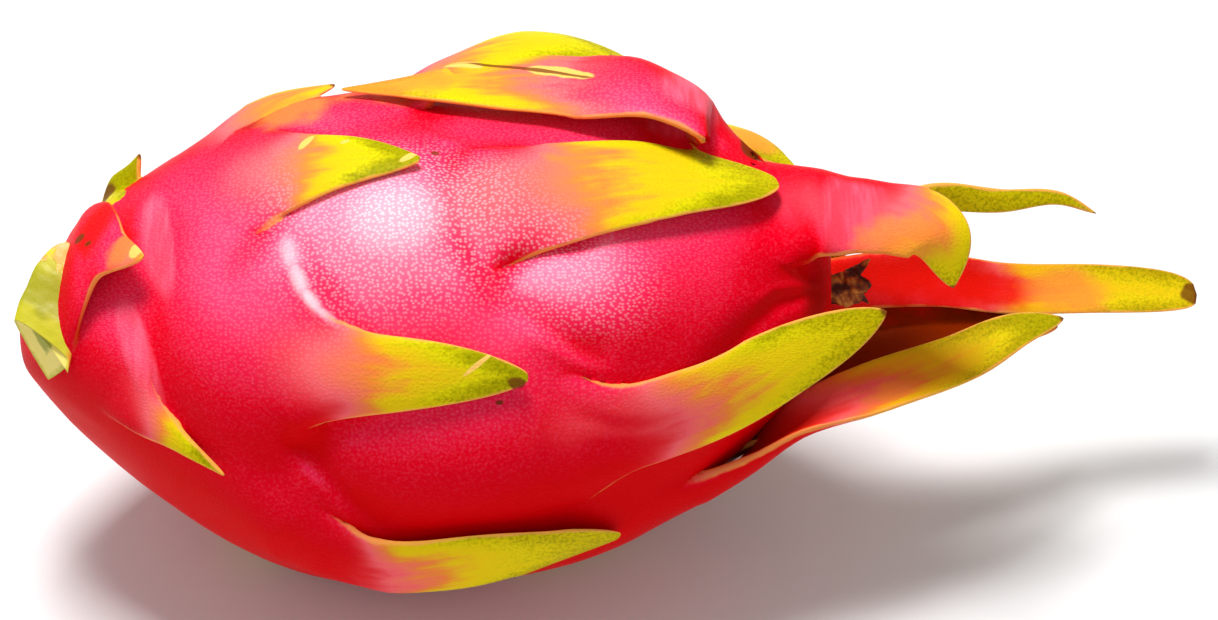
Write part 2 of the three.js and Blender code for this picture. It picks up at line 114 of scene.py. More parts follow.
def draw(n: int, seed: int) -> float:
    """A repeatable draw for the n-th question: between -1 and 1, from the fraction of a large sine."""
    x = math.sin((n + seed) * 12.9898) * 43758.5453
    return 2.0 * (x - math.floor(x)) - 1.0


def ripple(points: np.ndarray, size: float, seed: int) -> np.ndarray:
    """Smooth unevenness: the mean of 7 plane waves in seeded directions, of wavelengths near size.

    Args:
        points: Places, in mm, as (..., 3).
        size: Middle wavelength in mm.
        seed: Seed of the directions and phases.

    Returns:
        Values mostly between -1 and 1.
    """
    rng = np.random.default_rng(seed)
    ways = rng.normal(size=(7, 3))
    ways /= np.linalg.norm(ways, axis=1, keepdims=True)
    waves = 2.0 * math.pi / (size * rng.uniform(0.7, 1.5, 7))
    phases = rng.uniform(0.0, 2.0 * math.pi, 7)
    return np.sin(points @ (ways * waves[:, None]).T + phases).sum(-1) / 3.2


def radial(angle: np.ndarray) -> np.ndarray:
    """Direction straight out from the fruit's axis at an angle in degrees.

    Args:
        angle: Angles, of any shape.

    Returns:
        Unit vectors, with 3 as the last size.
    """
    t = np.radians(angle)
    return np.stack((np.zeros_like(t), -np.cos(t), np.sin(t)), -1)


def short_turn(angle: np.ndarray, start: float) -> np.ndarray:
    """The shorter way round from one angle to another, from -180 to 180 degrees."""
    return np.mod(angle - start + 180.0, 360.0) - 180.0


def put_in_scene(name: str, data: bpy.types.ID) -> bpy.types.Object:
    """Makes an object at the origin and links it to the scene.

    Args:
        name: Name of the object.
        data: Its mesh, light or camera.

    Returns:
        The object.
    """
    thing = bpy.data.objects.new(name, data)
    bpy.context.scene.collection.objects.link(thing)
    return thing


# ---- Meshes from arrays ----------------------------------------------------------------------------


class Net:
    """The vertices of a triangle mesh and how they hang together, as arrays."""

    def __init__(self, mesh: bpy.types.Mesh) -> None:
        """Reads the mesh: its places in mm, its triangles and its edges.

        Args:
            mesh: A mesh of triangles, in metres.
        """
        self.count = len(mesh.vertices)
        places = np.zeros(self.count * 3, np.float32)
        mesh.vertices.foreach_get("co", places)
        self.points = places.reshape(-1, 3).astype(float) / MM
        edges = np.zeros(len(mesh.edges) * 2, np.int32)
        mesh.edges.foreach_get("vertices", edges)
        self.ends = edges.reshape(-1, 2).T
        self.corners = np.zeros(len(mesh.loops), np.int32)
        mesh.loops.foreach_get("vertex_index", self.corners)
        self.faces = self.corners.reshape(-1, 3)
        self.degree = np.maximum(sum(np.bincount(end, minlength=self.count) for end in self.ends), 1)

    def pull(self, points: np.ndarray) -> np.ndarray:
        """The step from each place to the mean of its neighbours.

        Args:
            points: Places of the vertices.

        Returns:
            The steps.
        """
        a, b = self.ends
        total = np.stack([np.bincount(a, points[b, c], self.count) + np.bincount(b, points[a, c], self.count)
                          for c in range(3)], -1)
        return total / self.degree[:, None] - points

    def normals(self, points: np.ndarray) -> np.ndarray:
        """Unit normals at the vertices: the sum of the cross products of the faces round each.

        Args:
            points: Places of the vertices.

        Returns:
            The normals.
        """
        p0, p1, p2 = (points[self.faces[:, k]] for k in range(3))
        cross = np.cross(p1 - p0, p2 - p0)
        normal = np.stack([sum(np.bincount(self.faces[:, k], cross[:, c], self.count) for k in range(3))
                           for c in range(3)], -1)
        return normal / np.maximum(np.linalg.norm(normal, axis=1, keepdims=True), 1e-12)


@dataclass
class Shell:
    """A closed surface as arrays, with pairs of numbers that its finish reads."""

    points: np.ndarray
    triangles: np.ndarray
    layers: dict[str, np.ndarray] = field(default_factory=dict)

    def to_object(self, name: str) -> bpy.types.Object:
        """Writes the surface as an object at the origin.

        Args:
            name: Name of the object.

        Returns:
            The object, with one UV map for each layer.
        """
        mesh = bpy.data.meshes.new(name)
        corners = self.triangles.ravel()
        mesh.vertices.add(len(self.points))
        mesh.vertices.foreach_set("co", (self.points * MM).astype(np.float32).ravel())
        mesh.loops.add(len(corners))
        mesh.loops.foreach_set("vertex_index", corners.astype(np.int32))
        mesh.polygons.add(len(self.triangles))
        mesh.polygons.foreach_set("loop_start", np.arange(0, len(corners), 3, dtype=np.int32))
        for layer, values in self.layers.items():
            uv = mesh.uv_layers.new(name=layer)
            uv.data.foreach_set("uv", values[corners].astype(np.float32).ravel())
        mesh.update(calc_edges=True)
        mesh.validate()
        mesh.shade_smooth()
        return put_in_scene(name, mesh)


def ring_shell(rings: np.ndarray, first: np.ndarray, last: np.ndarray) -> Shell:
    """Closes a stack of rings with a point at each end.

    Args:
        rings: Points as (rows, columns, 3), each ring running so that its faces look out.
        first: Point that closes the first ring.
        last: Point that closes the last ring.

    Returns:
        The closed surface. Its vertices are first, then the rings row by row, then last.
    """
    rows, columns = rings.shape[:2]
    points = np.concatenate((first[None], rings.reshape(-1, 3), last[None]))
    here = 1 + np.arange(rows * columns).reshape(rows, columns)
    beside = np.roll(here, -1, axis=1)
    caps = [
        np.stack((np.zeros(columns, int), beside[0], here[0]), -1),
        np.stack((np.full(columns, len(points) - 1), here[-1], beside[-1]), -1),
    ]
    lower = np.stack((here[:-1], beside[:-1], beside[1:]), -1).reshape(-1, 3)
    upper = np.stack((here[:-1], beside[1:], here[1:]), -1).reshape(-1, 3)
    return Shell(points, np.concatenate((*caps, lower, upper)))


@dataclass
class Spine:
    """Smooth line through points: a Catmull-Rom spline whose knots lie as far apart as the points."""

    points: np.ndarray
    steps: int = 40

    def place(self, t: np.ndarray) -> np.ndarray:
        """Points of the line: in each span a cubic with the slopes that its knots' distances give.

        Args:
            t: Places from 0 to 1, each span taking an equal share.

        Returns:
            The points.
        """
        knots = np.concatenate((
            [2.0 * self.points[0] - self.points[1]], self.points,
            [2.0 * self.points[-1] - self.points[-2]],
        ))
        spans = len(self.points) - 1
        span = np.clip((t * spans).astype(int), 0, spans - 1)
        w = (t * spans - span)[:, None]
        p0, p1, p2, p3 = (knots[span + k] for k in range(4))
        d0, d1, d2 = (np.linalg.norm(b - a, axis=1)[:, None] for a, b in ((p0, p1), (p1, p2), (p2, p3)))
        m1 = d1 * ((p1 - p0) / d0 - (p2 - p0) / (d0 + d1) + (p2 - p1) / d1)
        m2 = d1 * ((p2 - p1) / d1 - (p3 - p1) / (d1 + d2) + (p3 - p2) / d2)
        square, cube = w * w, w * w * w
        return (p1 + w * m1 + square * (3.0 * (p2 - p1) - 2.0 * m1 - m2)
                + cube * (2.0 * (p1 - p2) + m1 + m2))

    def by_length(self, parts: np.ndarray) -> tuple[np.ndarray, np.ndarray, float, float]:
        """Samples the line evenly by length.

        Args:
            parts: Shares of the line's length, from 0 to 1.

        Returns:
            Points, directions, the length of the first span and the whole length.
        """
        t = np.linspace(0.0, 1.0, self.steps * (len(self.points) - 1) + 1)
        chords = np.linalg.norm(np.diff(self.place(t), axis=0), axis=1)
        lengths = np.concatenate(([0.0], np.cumsum(chords)))
        at = np.interp(parts * lengths[-1], lengths, t)
        near = 1e-4
        run = self.place(np.minimum(at + near, 1.0)) - self.place(np.maximum(at - near, 0.0))
        run /= np.linalg.norm(run, axis=1, keepdims=True)
        return self.place(at), run, lengths[self.steps], lengths[-1]


# ---- The body --------------------------------------------------------------------------------------


@dataclass(frozen=True)
class Spindle:
    """The bare body: a bent spindle with a flower cup, lying with its axis along +X."""

    length: float = 136.0
    belly: float = 62.0
    radius: float = 40.0
    stem_power: tuple[float, float] = (2.0, 1.25)
    crown_power: tuple[float, float] = (2.1, 1.4)
    belly_softness: float = 0.03
    axis_height: float = 39.6
    stem_rise: float = 7.5
    crown_rise: float = 10.0
    crown_back: float = 3.0
    bend_past: float = 4.0       # how far past the body it bends, before it runs on
    run_on: float = 0.8
    neck: float = 11.0
    neck_from: tuple[float, float] = (100.0, 140.0)
    least_radius: float = 6.0    # distances round the fruit are never taken at less
    rest_station: float = 60.0
    cup_station: float = 130.5
    cup_rim: float = 1.2
    cup_depth: float = 5.5
    cup_floor: float = 0.15      # share of the cup's width where its floor starts down
    rim_share: float = 0.4       # share of it that the rim takes
    side_share: float = 0.86
    row_power: float = 0.9
    slant_angle: float = -60.0
    slant_slope: float = 0.6
    slant_radius: float = 14.0

    def axis(self, station: np.ndarray) -> np.ndarray:
        """Middle of the fruit, which climbs to both ends and swings back towards the flower end.

        The rise is a cube towards the stem, and a square towards the flower, where it runs on more
        straightly beyond the body. The swing is a square.

        Args:
            station: Stations, of any shape.

        Returns:
            Points, with 3 as the last size.
        """
        d = station - self.belly
        half = self.length - self.belly
        straight = np.maximum(station - self.length - self.bend_past, 0.0)
        bent = np.minimum(d, half + self.bend_past)
        crown = self.crown_rise * ((bent / half) ** 2 + self.run_on * straight * bent / half**2)
        up = np.where(d > 0.0, crown, self.stem_rise * np.abs(d / self.belly) ** 3)
        back = np.where(d > 0.0, self.crown_back * (d / half) ** 2, 0.0)
        return np.stack((station - self.rest_station, back, self.axis_height + up), -1)

    def bare_radius(self, station: np.ndarray) -> np.ndarray:
        """Radius of the spindle: a superellipse on each side of the belly, blended where they meet.

        Args:
            station: Stations, of any shape.

        Returns:
            Radii.
        """
        to_stem = station < self.belly
        p = np.where(to_stem, self.stem_power[0], self.crown_power[0])
        q = np.where(to_stem, self.stem_power[1], self.crown_power[1])
        reach = np.where(to_stem, self.belly, self.length - self.belly)
        x = np.clip(np.abs(station - self.belly) / reach, 0.0, 1.0) ** 2
        c = self.belly_softness
        inside = 1.0 - x * ((1.0 + c) / (x + c)) ** (1.0 - p / 2.0)
        return self.radius * np.maximum(inside, 0.0) ** (1.0 / q)

    def guide_radius(self, station: np.ndarray) -> np.ndarray:
        """Radius that bracts are set out from: the spindle's, widened round the flower scar."""
        return np.hypot(self.bare_radius(station), self.neck * np.sqrt(ease(*self.neck_from, station)))

    def guide_point(self, station: np.ndarray, angle: np.ndarray, lift: np.ndarray) -> np.ndarray:
        """Point at a station and an angle, lift above the guide surface."""
        reach = self.guide_radius(station) + lift
        return self.axis(station) + radial(angle) * reach[..., None]

    def offset(self, station: np.ndarray, angle: np.ndarray, start: float,
               start_angle: float) -> tuple[np.ndarray, np.ndarray]:
        """Distances along the fruit and round it from one place to others.

        Args:
            station: Stations of the places.
            angle: Their angles.
            start: Station to measure from.
            start_angle: Angle to measure from.

        Returns:
            Both distances in mm.
        """
        radius = np.maximum(self.guide_radius(station), self.least_radius)
        return station - start, np.radians(short_turn(angle, start_angle)) * radius

    def profile(self, t: np.ndarray) -> tuple[np.ndarray, np.ndarray, np.ndarray]:
        """Profile of the body from the stem end to the middle of the flower cup.

        The side takes most of t, with rings closer together at both ends. The cup takes the rest:
        its rim is half a sine wave, and its floor an eased step down.

        Args:
            t: Parameter from 0 to 1.

        Returns:
            Station, shift along the axis and radius.
        """
        along = np.clip(t / self.side_share, 0.0, 1.0)
        station = self.cup_station * (1.0 - np.cos(math.pi * along**self.row_power)) / 2.0
        w = np.clip((t - self.side_share) / (1.0 - self.side_share), 0.0, 1.0)
        rim = self.cup_rim * np.sin(math.pi * np.minimum(w / self.rim_share, 1.0))
        shift = rim - self.cup_depth * ease(self.cup_floor, 1.0, w)
        return station, shift, self.bare_radius(station) * (1.0 - w)


# ---- Bracts ----------------------------------------------------------------------------------------


@dataclass(frozen=True)
class Bract:
    """One leafy scale. Its spine runs [station, angle, lift] from the root to the tip.

    Pairs and triples are: sweep, how fast the plus and minus margins part towards the stem end;
    cup, edge height over the midrib at root, middle and tip in half widths; twist, the turn about
    the midrib there in degrees; root_swell, how much thicker the root is and the share of the
    length where that fades; cushion_soft, softness of the cushion's edge and its growth per mm
    behind the root; cushion_end, where it ends past the root and how softly; point, the powers of
    the outline's taper; turn, the shares of its length where it leaves the rind's colour and where
    it is fully green; green, how far it goes that way, or below 0 for a withered one.
    """

    spine: tuple[tuple[float, float, float], ...]
    width: float = 14.0
    sweep: tuple[float, float] = (0.6, 0.6)
    sweep_at: tuple[float, float] = (7.0, 7.0)
    sweep_share: float = 0.32
    sweep_soft: float = 3.0
    thick: float = 2.6
    thinning: float = 0.55
    root_swell: tuple[float, float] = (1.2, 0.15)
    tip_power: int = 8
    cup: tuple[float, float, float] = (-0.1, -0.1, -0.05)
    twist: tuple[float, float, float] = (0.0, 0.0, 0.0)
    cushion: float = 2.0
    cushion_length: float = 20.0
    cushion_width: float = 16.0
    cushion_soft: tuple[float, float] = (0.7, 0.2)
    cushion_end: tuple[float, float] = (2.0, 1.5)
    tail: float = 12.0
    point: tuple[float, float] = (2.2, 0.75)
    turn: tuple[float, float] = (0.1, 0.6)
    green: float = 1.0

    def local(self, body: Spindle, station: np.ndarray, angle: np.ndarray) -> tuple[np.ndarray, np.ndarray]:
        """Distances along and across the bract, in mm, measured from its root.

        Args:
            body: The spindle it grows on.
            station: Stations of the places.
            angle: Their angles.

        Returns:
            Distance along, and distance across towards the plus margin.
        """
        (s0, a0, _), (s1, a1, _) = self.spine[:2]
        run = np.array((s1 - s0, math.radians(a1 - a0) * float(body.guide_radius(np.float64(s0)))))
        run /= np.linalg.norm(run)
        x, y = body.offset(station, angle, s0, a0)
        return x * run[0] + y * run[1], y * run[0] - x * run[1]

    def sweep_width(self, body: Spindle, u: np.ndarray, side: np.ndarray) -> np.ndarray:
        """How far a swept margin stands out beyond the blade's own half width.

        It grows towards the stem end as a soft ramp, and a tanh keeps it under its greatest width.

        Args:
            body: The spindle it grows on.
            u: Distances from the root, in mm.
            side: Above 0 on the side of the plus margin.

        Returns:
            Widths in mm.
        """
        rate, start = (np.where(side > 0.0, *pair) for pair in (self.sweep, self.sweep_at))
        free = rate * soft_ramp(start - u, self.sweep_soft)
        most = self.sweep_share * float(body.guide_radius(np.float64(self.spine[0][0])))
        return most * np.tanh(free / most)

    def cushion_height(self, body: Spindle, station: np.ndarray, angle: np.ndarray) -> np.ndarray:
        """Height of the swollen skin that it grows from: a bell, cut off softly at its margins.

        Args:
            body: The spindle it grows on.
            station: Stations of the places.
            angle: Their angles.

        Returns:
            Heights in mm.
        """
        u, v = self.local(body, station, angle)
        behind = np.minimum(u, 0.0)
        bulge = np.exp(-((v / self.cushion_width) ** 2) - (behind / self.cushion_length) ** 2)
        margin = np.abs(v) - self.width / 2.0 - self.sweep_width(body, u, v)
        soft, softer = self.cushion_soft
        end, end_soft = self.cushion_end
        sides = soft_edge(margin, soft - softer * behind)
        return self.cushion * bulge * sides * soft_edge(u - end, end_soft)

    def blade_thickness(self, q: np.ndarray) -> np.ndarray:
        """Thickness at a share q of the free length.

        It falls off evenly, is swollen at the root by exp(-q / b), and closes at the tip by
        sqrt(1 - q^c).

        Args:
            q: Shares of the free length, from 0 to 1.

        Returns:
            Thickness in mm.
        """
        swell, fades = self.root_swell
        return (self.thick * (1.0 - self.thinning * q) * (1.0 + swell * np.exp(-q / fades))
                * np.sqrt(np.maximum(1.0 - q**self.tip_power, 0.0)))

    def half_width(self, body: Spindle, u: np.ndarray, q: np.ndarray, side: np.ndarray) -> np.ndarray:
        """Half width on one side: that of the outline, (1 - q^a)^b, and of the swept margin.

        Args:
            body: The spindle it grows on.
            u: Distances from the root, in mm.
            q: The same as shares of the free length, from 0 to 1.
            side: Above 0 on the side of the plus margin.

        Returns:
            Half widths in mm.
        """
        taper = np.maximum(1.0 - q ** self.point[0], 0.0) ** self.point[1]
        return self.width / 2.0 * taper + self.sweep_width(body, u, side) * (1.0 - q)


FRONT_BRACTS = (
    Bract(((47, 36, -0.3), (56, 34.3, 0.2), (70.5, 34, 1), (84.5, 32, 1.2)),
          width=13.8, sweep=(2.2, 1.3), sweep_at=(1.2, 6.2), sweep_share=0.55, tail=18, point=(2.4, 0.7),
          turn=(0.0, 1.3)),
    Bract(((37, 84, -0.3), (46, 84, 0.3), (54.5, 83.3, 1), (67.5, 81.5, 1.5)),
          width=18, sweep=(1, 0.45), sweep_at=(9, 9), sweep_share=0.45, point=(2, 0.85), tail=16,
          turn=(0.13, 1.2)),
    Bract(((72, 74, -0.3), (83, 76, 0.3), (100.5, 82.5, 1.4), (123.5, 91, 3)),
          width=20, sweep=(0.35, 0.8), sweep_at=(10, 8), sweep_share=0.45, point=(3.5, 0.6), tail=16,
          turn=(0.12, 1.1)),
    Bract(((85, 12.7, -0.3), (98.5, 12.5, 0.3), (112, 13.5, 1.5), (125.5, 20, 5.5), (139, 28, 11.5)),
          width=14.4, sweep=(1, 1), sweep_at=(12, 12), sweep_share=0.45, point=(4, 0.7), tail=16,
          turn=(0.15, 1.15)),
    Bract(((46, -14, 0.3), (57, -17.5, 1.5), (79, -13, 3), (98.5, -22, 2)),
          width=17, sweep=(1.05, 1), sweep_at=(4, 4), sweep_share=0.5, point=(3, 0.6), cushion=1.8,
          cushion_length=9, cushion_width=11, tail=16, turn=(0.05, 1.0)),
    Bract(((18.5, 24, -0.3), (25, 15, 0.5), (30, 11, 0.8), (37, 6.5, 1)),
          width=7.5, sweep=(0.55, 1.5), sweep_at=(6, 9), sweep_share=0.45, cushion_length=12, tail=12,
          point=(1.3, 0.9), turn=(0.2, 1.35)),
    Bract(((9.5, 66, -0.3), (16.5, 66, 1.8), (24.5, 61, 2.2)),
          width=11, sweep=(4, 1.5), sweep_at=(11, 9), sweep_share=0.7, sweep_soft=1.5, cushion=4.5,
          cushion_length=5.5, tail=3, point=(2, 0.8), turn=(0.45, 2.4)),
)
TOP_BRACTS = (
    Bract(((14, 117, -0.3), (16.5, 120, 1.6), (19.5, 120, 4.6)), width=10, sweep=(0.3, 0.3),
          cushion=1, cushion_length=8, tail=3, point=(1.2, 1), twist=(0, 45, 45), turn=(-0.6, 0.3)),
    Bract(((26, 114, -0.3), (34, 118, 1), (42.5, 121, 2.2), (51.5, 124, 2.2)),
          width=15, cushion=1.5, twist=(0, 12, 12), tail=7, turn=(0.0, 0.7), green=0.2),
    Bract(((60, 122, -0.3), (69.5, 126, 4.8), (84.5, 128, 9.3), (94.5, 127, 9), (103.5, 125, 7.2)),
          width=18, sweep=(0.4, 0.4), twist=(0, 25, 20), turn=(-0.05, 1.0)),
    Bract(((113, 115, 0.5), (112.5, 116, 6), (104, 115, 9), (91, 113.5, 6.9), (76, 112.5, 4.6),
           (52, 112, 3.4)),
          width=25, sweep=(0, 0), cup=(0, -0.15, 0.1), point=(1.6, 0.9), cushion=0.5,
          twist=(0, -22, -11), tail=6, turn=(0.2, 1.25)),
    Bract(((100, 138, -0.3), (111, 136, 2.4), (118, 137, 3.6), (127, 136, 2.2)),
          width=16, sweep=(0.4, 0.4), cushion=2, cushion_length=30, cushion_width=20,
          twist=(0, 30, 30), turn=(-0.2, 1.2)),
)
CROWN_BRACTS = (
    Bract(((121.5, 87, -0.3), (129, 89, 3.8), (135.5, 83.5, 6.2), (141.8, 72, 6.7),
           (147.5, 58, 6.5), (150.5, 27, 1.5)),
          width=17, sweep=(0.8, 0.4), point=(3, 0.8), cushion=2, cup=(-0.1, -0.3, -0.2), turn=(0.3, 1.4)),
    Bract(((126, 120, -0.3), (134, 124, 1.4), (148.5, 130, 1.2), (160, 141, -1.3), (170, 143, -2.6),
           (176, 153, -6)),
          width=6, sweep=(0.2, 0.2), cushion=0.5, twist=(0, -60, -60), turn=(-0.2, 0.6)),
    Bract(((124, -137, -0.3), (139.5, -139, 2.4), (150, -133, 3.4), (162, -123.5, 7.4),
           (179.5, -118, 10.8), (196.5, -111, 12.7)),
          width=9, sweep=(0.2, 0.2), cushion=0.5, cup=(-0.3, -0.3, -0.2), point=(14, 0.35),
          turn=(0.4, 0.85), green=0.68),
    Bract(((104, -34, -0.3), (112, -38, 0.8), (119, -41, 1.8), (128, -44.5, 2.8), (140, -51, 5.9),
           (153.5, -58, 2.7), (163.5, -68, -0.8), (171, -72, -1.6)),
          width=13.5, sweep=(0.2, 0.2), point=(4, 0.7), cushion=2.8, cushion_length=30,
          cushion_width=18, cup=(-0.2, -0.3, -0.3), twist=(0, 35, 35), tail=6, turn=(0.27, 1.15)),
    Bract(((105, -86, -0.3), (117, -93, 1.4), (131, -102, 3.2), (146, -107, 5.2),
           (160, -106, 7.5), (172, -103, 9.5)),
          width=21, sweep=(1.2, 0.3), sweep_at=(20, 7), sweep_share=0.45, cushion=1,
          cup=(-0.1, -0.35, -0.4), point=(3, 0.7), tail=6, turn=(-0.4, -0.1), green=-1.0),
)


@dataclass(frozen=True)
class BackRows:
    """Bracts round the back and underneath, in rows along the fruit, each row staggered.

    A row is its angle and its first station. Length, rise, width and tail are given as a value near
    the stem and what is added towards the flower.
    """

    rows: tuple[tuple[float, float], ...] = ((190.0, 19.0), (236.0, 38.0), (284.0, 24.0))
    step: float = 43.0
    seed: int = 7
    jitter: tuple[float, float] = (2.0, 5.0)
    lean: float = 3.0
    end: float = 108.0
    root_lift: tuple[float, float] = (-0.3, 0.3)
    length: tuple[float, float] = (20.0, 16.0)
    rise: tuple[float, float] = (0.8, 5.0)
    width: tuple[float, float] = (14.5, -3.0)
    tail: tuple[float, float] = (7.0, 7.0)
    cushion: float = 2.0
    low_cushion: float = 1.3
    low_from: float = 260.0

    def bracts(self) -> list[Bract]:
        """Sets out every row: its bracts are longer and more raised towards the flower end.

        Returns:
            The bracts, row by row.
        """
        made = []
        n = 0
        for row_angle, first in self.rows:
            for station in np.arange(first, self.end, self.step):
                root = station + self.jitter[0] * draw(n, self.seed)
                angle = row_angle + self.jitter[1] * draw(n + 1, self.seed)
                lean = self.lean * draw(n + 2, self.seed)
                long, up, width, tail = (
                    start + added * float(ease(*over, root)) for (start, added), over in (
                        (self.length, (10.0, 60.0)), (self.rise, (70.0, 115.0)),
                        (self.width, (80.0, 120.0)), (self.tail, (15.0, 50.0))))
                sunk, free = self.root_lift
                spine = ((root, angle, sunk), (root + 0.3 * long, angle + lean / 2.0, free),
                         (root + 0.65 * long, angle + lean, free + 0.4 * up), (root + long, angle, up))
                cushion = self.low_cushion if row_angle > self.low_from else self.cushion
                made.append(Bract(spine, width=width, sweep=(0.9, 0.8), cushion=cushion, tail=tail,
                                  turn=(0.15, 0.75)))
                n += 3
        return made


# ---- Relief of the skin ----------------------------------------------------------------------------


@dataclass(frozen=True)
class Pillow:
    """A swelling of the skin: a bell with half sizes along the fruit and around it, in mm."""

    station: float
    angle: float
    along: float
    around: float
    height: float

    def rise(self, body: Spindle, station: np.ndarray, angle: np.ndarray) -> np.ndarray:
        """Height there: height * exp(-(x / along)^2 - (y / around)^2)."""
        x, y = body.offset(station, angle, self.station, self.angle)
        return self.height * np.exp(-((x / self.along) ** 2) - (y / self.around) ** 2)


@dataclass(frozen=True)
class Fold:
    """A line on the skin, through (station, angle) places: a ridge or crease, with a step beside it.

    The ridge is a bell across the line. The step raises the skin on the line's left, as seen with
    the stem end left and the top up, and dies away over its reach.
    """

    path: tuple[tuple[float, float], ...]
    ridge: float = 0.0
    width: float = 1.5
    step: float = 0.0
    step_soft: float = 0.45
    reach: float = 7.0
    fading: float = 0.25         # share of its length that each end takes to fade out

    def rise(self, body: Spindle, station: np.ndarray, angle: np.ndarray) -> np.ndarray:
        """Height that the line adds to the skin, from the distance to its nearest span.

        The ridge is ridge * exp(-(distance / width)^2). The step is its height times a soft edge on
        the line and a bell of its reach. Both fade out at the two ends.

        Args:
            body: The spindle it lies on.
            station: Stations of the places.
            angle: Their angles.

        Returns:
            Heights in mm.
        """
        first = self.path[0]
        per_degree = math.radians(float(body.guide_radius(np.float64(self.path[len(self.path) // 2][0]))))
        x = station - first[0]
        y = short_turn(angle, first[1]) * per_degree
        knots = [np.array((s - first[0], (a - first[1]) * per_degree)) for s, a in self.path]
        total = sum(float(np.linalg.norm(b - a)) for a, b in zip(knots, knots[1:]))
        nearest = np.full(x.shape, np.inf)
        signed = np.zeros(x.shape)
        along = np.zeros(x.shape)
        gone = 0.0
        for a, b in zip(knots, knots[1:]):
            length = float(np.linalg.norm(b - a))
            run = (b - a) / length
            t = np.clip((x - a[0]) * run[0] + (y - a[1]) * run[1], 0.0, length)
            off = np.hypot(x - a[0] - t * run[0], y - a[1] - t * run[1])
            side = (y - a[1]) * run[0] - (x - a[0]) * run[1]
            closer = off < nearest
            nearest = np.where(closer, off, nearest)
            signed = np.where(closer, np.where(side > 0.0, off, -off), signed)
            along = np.where(closer, gone + t, along)
            gone += length
        fade = ease(0.0, self.fading * total, along) * ease(total, (1.0 - self.fading) * total, along)
        ridge = self.ridge * np.exp(-((nearest / self.width) ** 2))
        beside = np.exp(-((np.maximum(signed, 0.0) / self.reach) ** 2))
        raised = soft_edge(-signed, self.step_soft) * beside
        return fade * (ridge + self.step * raised)


PILLOWS = (
    Pillow(62.0, 67.0, 9.0, 9.0, 1.2),
    Pillow(97.0, 48.0, 14.0, 9.0, 2.0),
    Pillow(37.0, 44.0, 7.5, 12.0, 1.4),
    Pillow(74.0, 9.0, 14.0, 9.0, 1.1),
    Pillow(40.0, 82.0, 8.0, 8.0, 0.8),
    Pillow(43.0, -8.0, 9.0, 8.0, 0.9),
    Pillow(80.0, 73.0, 6.0, 7.0, 1.2),
    Pillow(98.0, 122.0, 12.0, 9.0, 3.5),
    Pillow(46.0, 112.0, 10.0, 6.0, 1.5),
    Pillow(117.0, 127.0, 7.0, 6.0, 2.0),
    Pillow(131.0, 97.0, 5.0, 6.0, 1.6),
)
FOLDS = (
    Fold(((72, 94), (73.5, 84), (74.9, 72), (74.5, 61), (73.5, 50)), ridge=-1.5, width=3.2),
    Fold(((25.6, 94), (27.3, 70), (26.6, 51.4), (27.5, 37), (29.5, 23), (33, 13), (38, 5)), ridge=-1.0,
         width=2.2, step=0.8, reach=7.0),
    Fold(((61, 31), (56.8, 26.7), (49, 19.3), (42.5, 12.4), (37, 6)), ridge=-0.3, width=1.5, step=-1.8,
         reach=5.0),
    Fold(((45.5, 67), (46.6, 63.6), (49.2, 53), (52.3, 47), (58, 43)), ridge=1.4, width=1.4, step=-0.6,
         reach=5.0),
    Fold(((45, 19), (48.8, 12), (54.5, 1), (62, -9.5)), ridge=0.5, width=0.9, step=-1.7, reach=6.0),
    Fold(((96, 70), (85.4, 65), (78.6, 58.7), (76.7, 53.6), (73.5, 44)), ridge=0.4, width=0.9, step=-1.5,
         reach=5.0),
    Fold(((78, 49), (85, 41), (90, 35), (97, 29)), ridge=0.6, width=1.0, step=-1.0, reach=4.0),
    Fold(((120.5, 98), (122, 88), (124.5, 72), (129.5, 46)), ridge=-1.8, width=1.4, step=0.5, reach=4.0),
    Fold(((131, 47), (122, 45.5), (117, 37), (108, 24)), ridge=0.6, width=1.0, step=-1.8, reach=4.0),
    Fold(((45, 71), (38.7, 60), (35, 49)), ridge=-1.2, width=2.0),
    Fold(((88, 23), (98, 15), (109, 10)), ridge=-0.7, width=1.0),
    Fold(((91, 14), (99, 9), (108, 5)), ridge=-0.6, width=0.9),
)


# ---- The rind --------------------------------------------------------------------------------------


